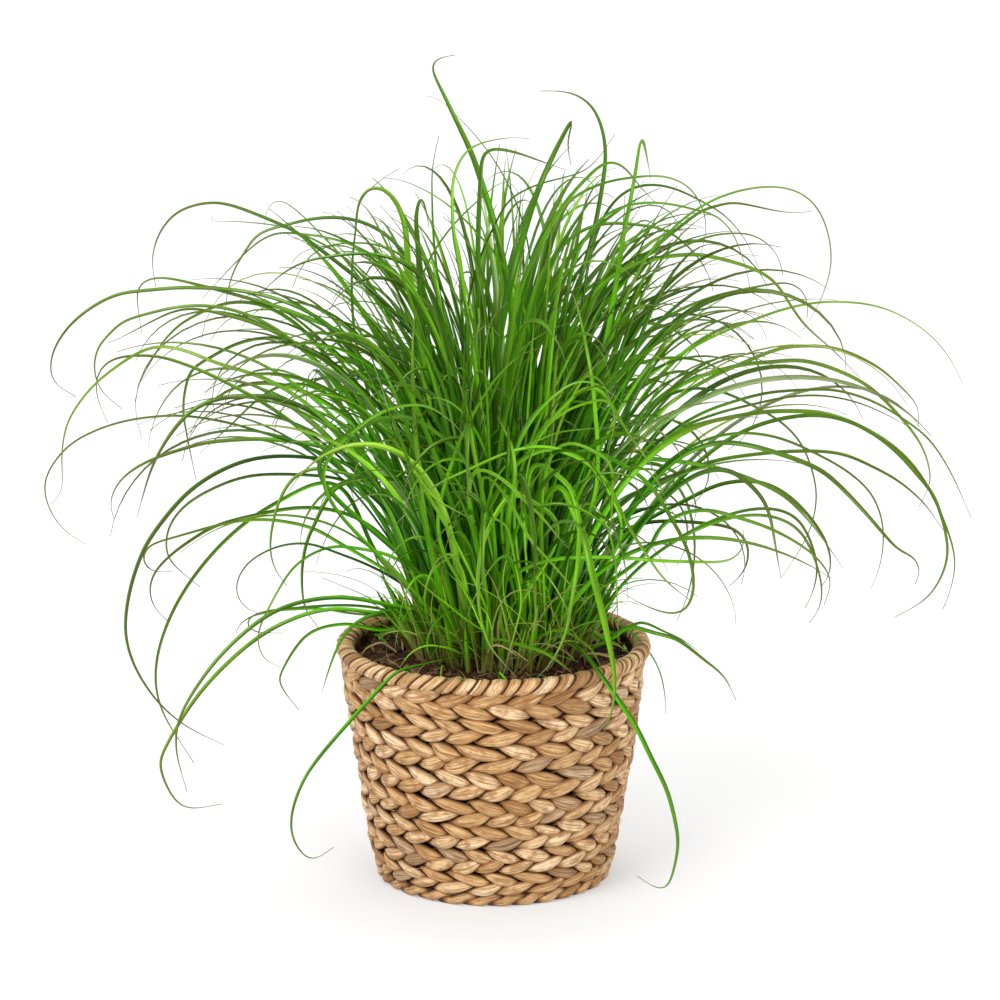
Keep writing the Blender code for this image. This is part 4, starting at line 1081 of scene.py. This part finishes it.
def shown_leaf_path(course, depth_tip, rng):
    """A leaf whose outer part shows in the front view, led back to its foot in the crown."""
    pts = np.array(course, float)
    x0, y0 = pts[0]
    way = pts[1] - pts[0]
    way /= np.linalg.norm(way)
    foot_x = 505 + min(max((x0 - 505) * 0.34 + rng.uniform(-24, 24), -78), 80)
    depth_foot = min(max(depth_tip * 0.35, -30), 30)
    foot = np.array((foot_x, 655 - depth_foot * 0.4))
    gap = np.linalg.norm(pts[0] - foot)
    hidden = []
    rise = np.array((0.10 * (x0 - foot[0]) / max(gap, 1), -1.0))
    rise /= np.linalg.norm(rise)
    reach = gap * rng.uniform(0.34, 0.50)
    c1 = foot + rise * reach
    c2 = pts[0] - way * reach
    count = max(4, int(gap / 26))
    for t in np.linspace(0, 1, count, endpoint=False):
        hidden.append((1 - t) ** 3 * foot + 3 * (1 - t) ** 2 * t * c1
                      + 3 * (1 - t) * t * t * c2 + t ** 3 * pts[0])
    whole = np.vstack([hidden, pts])
    run = np.concatenate([[0], np.cumsum(np.linalg.norm(np.diff(whole, axis=0), axis=1))])
    share = run / run[-1]
    points = [seen(p[0], p[1], depth_foot + (depth_tip - depth_foot) * s ** 1.15)
              for p, s in zip(whole, share)]
    path = smooth_course(points, int(min(max(run[-1] / 4.6, 40), 130)))
    for _ in range(5):
        path[1:-1] = (path[:-2] + 2 * path[1:-1] + path[2:]) / 4
    return path


def grow_leaves():
    tufts = {name: Tubes() for name in TUFTS}
    rng = random.Random(2024)
    for half, near, far, course in SHOWN_LEAVES:
        depth = rng.uniform(near, far)
        path = shown_leaf_path(course, depth, rng)
        path = np.clip(path, LOW - 20, HIGH + 20)
        tone = min(max(rng.gauss(0.46, 0.12), 0.2), 0.66)
        add_blade(tufts[nearest_tuft(path)], path, half * 1.14, rng, tone, drift=0.5, facing=VIEWER,
                  twist0=rng.uniform(-0.8, 0.8), blunt=7.0)
    for half, tone, depth, course in FRONT_LEAVES:
        path = shown_leaf_path(course, depth, rng)
        add_blade(tufts[nearest_tuft(path)], path, half * 0.90, rng, tone * 0.88, drift=0.35, facing=VIEWER,
                  twist0=rng.uniform(-0.5, 0.5), blunt=7.0)
    for index, (name, values) in enumerate(TUFTS.items()):
        angle, foot, lean0, lean1, length, power, sweep, count = values
        rng = random.Random(3000 + index)
        group = name.split("_")[1]
        for b in range(count):
            for attempt in range(30):
                spread = {"centre": 60, "inner": 30, "middle": 13, "outer": 11}[group]
                at = angle + rng.gauss(0, spread)
                a = math.radians(at)
                reach = foot + rng.gauss(0, 6.5)
                if group == "centre":
                    a = rng.uniform(0, TAU)
                    reach = abs(rng.gauss(0, 12))
                reach = min(max(reach, 0), 51)
                x = CROWN_X + 0.86 * reach * math.cos(a) + rng.gauss(0, 2.2)
                y = (reach * math.sin(a) + rng.gauss(0, 2.2)) * CROWN_HALF_Y / CROWN_HALF_X
                # which way it leans, and how far
                way = math.degrees(a) + rng.gauss(0, {"centre": 70, "inner": 42, "middle": 20, "outer": 13}[group])
                l0 = lean0 + rng.gauss(0, 3.5)
                l1 = lean1 + rng.gauss(0, 24 if group in ("middle", "outer") else 16)
                size = rng.uniform(0.70, 1.03)
                pow_ = max(power + rng.gauss(0, 0.4), 1.2)
                if group == "middle" and rng.random() < 0.45:   # stays steeper, bends late
                    l1 = lean1 * rng.uniform(0.45, 0.95)
                    pow_ += rng.uniform(0.6, 2.0)
                if group in ("centre", "inner"):
                    l1 = rng.uniform(30, 100) if rng.random() < 0.4 else rng.uniform(50, 185)
                    l0 += abs(rng.gauss(0, 5))
                    pow_ = rng.uniform(2.2, 5.0)
                    size = rng.uniform(0.70, 1.0) * (0.90 if group == "centre" else 1.06)
                if group == "inner" and rng.random() < 0.25:    # crosses the others
                    l0 += rng.uniform(4, 16)
                    l1 = rng.uniform(60, 130)
                if rng.random() < 0.24:
                    size *= rng.uniform(0.5, 0.8)
                    l1 += rng.uniform(0, 40)
                if rng.random() < 0.16:                      # a tip that curls under
                    l1 += rng.uniform(30, 90)
                path = arch(x, y, 130.5, way, l0, l1, (length + 18) * size, pow_,
                            sweep + rng.gauss(0, 22), 36, rng.uniform(0, 8), rng.random())
                if ((path > LOW).all() and (path < HIGH).all() and clear_of_basket(path)
                        and inside_outline(path, b % 8 < 5)):
                    break
            else:
                continue
            tone = min(max(rng.gauss(0.485 if group in ("centre", "inner") else 0.45, 0.24), 0.05), 0.90)
            if rng.random() < 0.08:                          # pale, bloomy leaves
                tone = rng.uniform(0.965, 1.0)
            if group in ("centre", "inner"):
                half = min(max(rng.gauss(1.65, 0.50), 0.8), 2.7)
            else:
                half = min(max(rng.gauss(1.36, 0.38), 0.7), 2.3)
            half *= 0.80 + 0.25 * size
            add_blade(tufts[name], path, half, rng, tone, facing=VIEWER if b % 9 < 4 else None,
                      blunt=5.2 if group in ("centre", "inner") else 4.8)
    for name, tubes in tufts.items():
        piece = tubes.build("leaves_" + name[5:], LEAF, columns=1, sharp=32)
        stand_for(piece, name)


def clear_of_basket(path):
    """A leaf may hang outside the basket but never run through its wall."""
    for x, y, z in path:
        r = math.hypot(x, y)
        if z < 143 and 76 < r < 94 and z > 0:
            return False
        if z < 128 and r < 94:
            return False
    return True


def single_leaves():
    rng = random.Random(808)
    thick = {"leaf_over_rim_left": 1.15, "leaf_over_rim_front": 2.35, "leaf_over_rim_right": 1.45,
             "leaf_low_left_3": 1.0, "leaf_low_right_2": 1.1}
    tones = {"leaf_over_rim_left": 0.44, "leaf_over_rim_front": 0.76, "leaf_over_rim_right": 0.46}
    slims = {"leaf_over_rim_left": (0.25, 0.42), "leaf_over_rim_front": (0.30, 0.52), "leaf_over_rim_right": (0.45, 0.40)}
    bends = {"leaf_over_rim_left": -2.0, "leaf_over_rim_right": 2.0}
    for name, (angle, height, course) in LEAVES.items():
        a = math.radians(angle)
        root = np.array((CROWN_X + 22 * math.cos(a), 18 * math.sin(a), 129.0))
        bend = np.array((CROWN_X + 40 * math.cos(a), 33 * math.sin(a), height + bends.get(name, 15)))
        path = smooth_course([root, bend] + [seen(*place) for place in course], 130)
        for _ in range(9):
            path[1:-1] = (path[:-2] + 2 * path[1:-1] + path[2:]) / 4
        tubes = Tubes()
        add_blade(tubes, path, thick.get(name, 1.26), rng, tones.get(name, rng.uniform(0.46, 0.62)),
                  twist0=rng.uniform(-0.30, 0.30), drift=0.12, facing=VIEWER,
                  slim=slims.get(name))
        stand_for(tubes.build("single_" + name[5:], LEAF, sharp=32), name)


def crown_stems():
    """Packed shoots at the foot of the clump, each in its sheath."""
    rng = random.Random(99)
    tubes = Tubes()
    count = 210
    for q in range(count):
        r = math.sqrt((q + 0.5) / count)
        a = q * math.pi * (3 - math.sqrt(5))
        x = CROWN_X + CROWN_HALF_X * 0.86 * r * math.cos(a) + rng.gauss(0, 1.2)
        y = CROWN_HALF_Y * 0.94 * r * math.sin(a) + rng.gauss(0, 1.2)
        lean0 = 26 * r ** 1.6 + rng.gauss(0, 3)
        path = arch(x, y, 129.5, math.degrees(a) + rng.gauss(0, 8), lean0, lean0 + rng.uniform(0, 10),
                    rng.uniform(26, 62), 1.2, 0, 8, 0, 0)
        n, around = len(path), 8
        along = unit(np.gradient(path, axis=0))
        turn = rng.uniform(0, math.pi)
        side = unit(np.cross(along, np.array((math.cos(turn), math.sin(turn), 0.2))))
        up = np.cross(side, along)
        t = np.linspace(0, 1, n)
        wide, deep = rng.uniform(1.3, 2.1), rng.uniform(0.7, 1.1)
        taper = (1 - t ** 3) ** 0.7
        rings = np.empty((n, around, 3))
        across = np.empty((n, around))
        for j in range(around):
            b = TAU * j / around
            rings[:, j] = (path + side * (wide * math.cos(b) * np.maximum(taper, 0.06))[:, None]
                           + up * (deep * math.sin(b) * np.maximum(taper, 0.06))[:, None])
            across[:, j] = math.cos(b)
        dry = 0.0
        tone = min(max(rng.gauss(0.55, 0.26), 0.0), 0.9)
        if rng.random() < 0.38:
            dry = rng.uniform(0.45, 1.0)
            tone = rng.choice((0.05, 0.12, 0.18, 0.6))
        dryness = np.clip(dry + 0.35 * (1 - t / 0.25), 0, 1) if dry else np.clip(0.25 * (1 - t / 0.15), 0, 1)
        tubes.add(rings, along=round_field(t * 0.8, around), rise=round_field(t * 55, around),
                  across=across, tone=np.full((n, around), tone), dry=round_field(dryness, around))
    # thin young leaves round the edge, bent every way
    for q in range(84):
        a = rng.gauss(-math.pi / 2, 1.05)
        r = rng.uniform(0.82, 1.02)
        x = CROWN_X + 0.88 * CROWN_HALF_X * r * math.cos(a)
        y = CROWN_HALF_Y * r * math.sin(a)
        path = arch(x, y, 130.0, math.degrees(a) + rng.gauss(0, 60), rng.uniform(5, 40), rng.uniform(30, 125),
                    rng.uniform(35, 115), 1.5, rng.gauss(0, 50), 15, 10, rng.random())
        path[:, 2] = np.maximum(path[:, 2], 132.5)
        if not clear_of_basket(path[1:]):
            continue
        faded = rng.random() < 0.30
        add_blade(tubes, path, rng.uniform(0.26, 0.60), rng, 0.5 if faded else min(max(rng.gauss(0.70, 0.18), 0.2), 0.92),
                  dry=rng.uniform(0.3, 0.9) if faded else 0.0)
    # dry shreds of old sheath between the shoots
    for q in range(46):
        a, r = rng.uniform(0, TAU), math.sqrt(rng.uniform(0.25, 1.0))
        x = CROWN_X + 0.88 * CROWN_HALF_X * r * math.cos(a)
        y = CROWN_HALF_Y * r * math.sin(a)
        path = arch(x, y, 130.5, math.degrees(a) + rng.gauss(0, 25), rng.uniform(5, 45), rng.uniform(40, 150),
                    rng.uniform(22, 60), 1.4, rng.gauss(0, 30), 9, 10, rng.random())
        path[:, 2] = np.maximum(path[:, 2], 131)
        add_blade(tubes, path, rng.uniform(0.4, 0.9), rng, rng.choice((0.1, 0.5)), dry=rng.uniform(0.6, 1.0))
    stand_for(tubes.build("crown_shoots", SHEATH, columns=6, sharp=40), "crown")


def litter():
    """Fallen leaves, thin roots and dry threads that lie on the soil."""
    rng = random.Random(313)
    tubes = Tubes()
    edge = wall_radius(SOIL_EDGE) - 10.5

    def laid(x, y, heading, length, curl, count, lift):
        pts = []
        for i in range(count):
            t = i / (count - 1)
            r = math.hypot(x, y)
            if r > edge:
                x, y = x * edge / r, y * edge / r
            pts.append((x, y, soil_height(x, y) + 0.9 + lift * math.sin(math.pi * t)))
            heading += curl / count
            x += math.cos(heading) * length / count
            y += math.sin(heading) * length / count
        return np.array(pts)

    for q in range(64):                                   # pale threads
        a = rng.uniform(0, TAU)
        r = rng.uniform(44, edge)
        path = laid(r * math.cos(a), r * math.sin(a), rng.uniform(0, TAU), rng.uniform(10, 34),
                    rng.gauss(0, 2.2), 14, rng.uniform(0.5, 7))
        add_hair(tubes, smooth_course(path, 14), rng.uniform(0.14, 0.24), rng, tone=0.5,
                 dry=rng.uniform(0.5, 1.0))
    for q in range(30):                                   # fallen leaves
        a = rng.uniform(0, TAU)
        r = rng.uniform(46, edge - 4)
        path = laid(r * math.cos(a), r * math.sin(a), a + rng.gauss(0, 0.9), rng.uniform(18, 44),
                    rng.gauss(0, 1.0), 12, rng.uniform(1, 9))
        add_blade(tubes, path, rng.uniform(0.5, 1.0), rng, rng.uniform(0.4, 1.0), rise0=70,
                  dry=rng.choice((0, 0, 0, 0.5, 0.9)), tip_dry=False)
    piece = tubes.build("fallen_leaves", LEAF, columns=2, sharp=40)
    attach(piece, "root")


coiled_base()
twisted_rope()
for row in range(8):
    braid_row(row)
wrapped_rim()
soil_bed()
crown_stems()
grow_leaves()
single_leaves()
litter()


# ------------------------------------------------------------ floor, light, view
floor_mesh = bpy.data.meshes.new("studio_floor")
floor_mesh.from_pydata([(-30, -30, 0), (30, -30, 0), (30, 30, 0), (-30, 30, 0)], [], [(0, 1, 2, 3)])
floor = bpy.data.objects.new("studio_floor", floor_mesh)
bpy.context.scene.collection.objects.link(floor)
paper = Nodes("studio_paper")
grain = paper.noise(paper.put("ShaderNodeNewGeometry").outputs["Position"], 3.0, 2.0, 0.5)
paper.set(paper.shader.inputs["Base Color"], paper.mix(grain, (0.515, 0.515, 0.515, 1), (0.525, 0.525, 0.525, 1)))
paper.shader.inputs["Emission Color"].default_value = (1, 1, 1, 1)
paper.shader.inputs["Emission Strength"].default_value = 0.37
paper.shader.inputs["Roughness"].default_value = 1.0
paper.shader.inputs["Specular IOR Level"].default_value = 0.0
floor_mesh.materials.append(paper.mat)

world = bpy.data.worlds.new("studio")
bpy.context.scene.world = world
world.use_nodes = True
world.node_tree.nodes["Background"].inputs[0].default_value = (1, 1, 1, 1)
world.node_tree.nodes["Background"].inputs[1].default_value = 0.60


def soft_light(name, place, aim, size, power):
    data = bpy.data.lights.new(name, "AREA")
    data.shape = "DISK"
    data.size = size
    data.energy = power
    obj = bpy.data.objects.new(name, data)
    obj.location = place
    obj.rotation_euler = (Vector(aim) - Vector(place)).to_track_quat("-Z", "Y").to_euler()
    bpy.context.scene.collection.objects.link(obj)


soft_light("key", (-3.8, -5.4, 8.4), (0, 0, 0.2), 5.6, 610)
soft_light("fill", (4.0, -7.4, 4.6), (0, 0, 0.2), 6.0, 250)
soft_light("top", (0.4, 1.6, 9.2), (0, 0, 0.2), 4.6, 420)

eye = bpy.data.cameras.new("front_view")
eye.sensor_width = 36
eye.lens = EYE_SCALE * 36 / 1000
eye.shift_x = (500 - EYE_CENTRE[0]) / 1000
eye.clip_end = 100
camera = bpy.data.objects.new("front_view", eye)
camera.location = (0, -EYE_DISTANCE * math.cos(EYE_ANGLE) * MM,
                   (EYE_AIM_HEIGHT + EYE_DISTANCE * math.sin(EYE_ANGLE)) * MM)
camera.rotation_euler = (math.pi / 2 - EYE_ANGLE, 0, 0)
bpy.context.scene.collection.objects.link(camera)
bpy.context.scene.camera = camera
bpy.context.scene.view_settings.view_transform = "Standard"
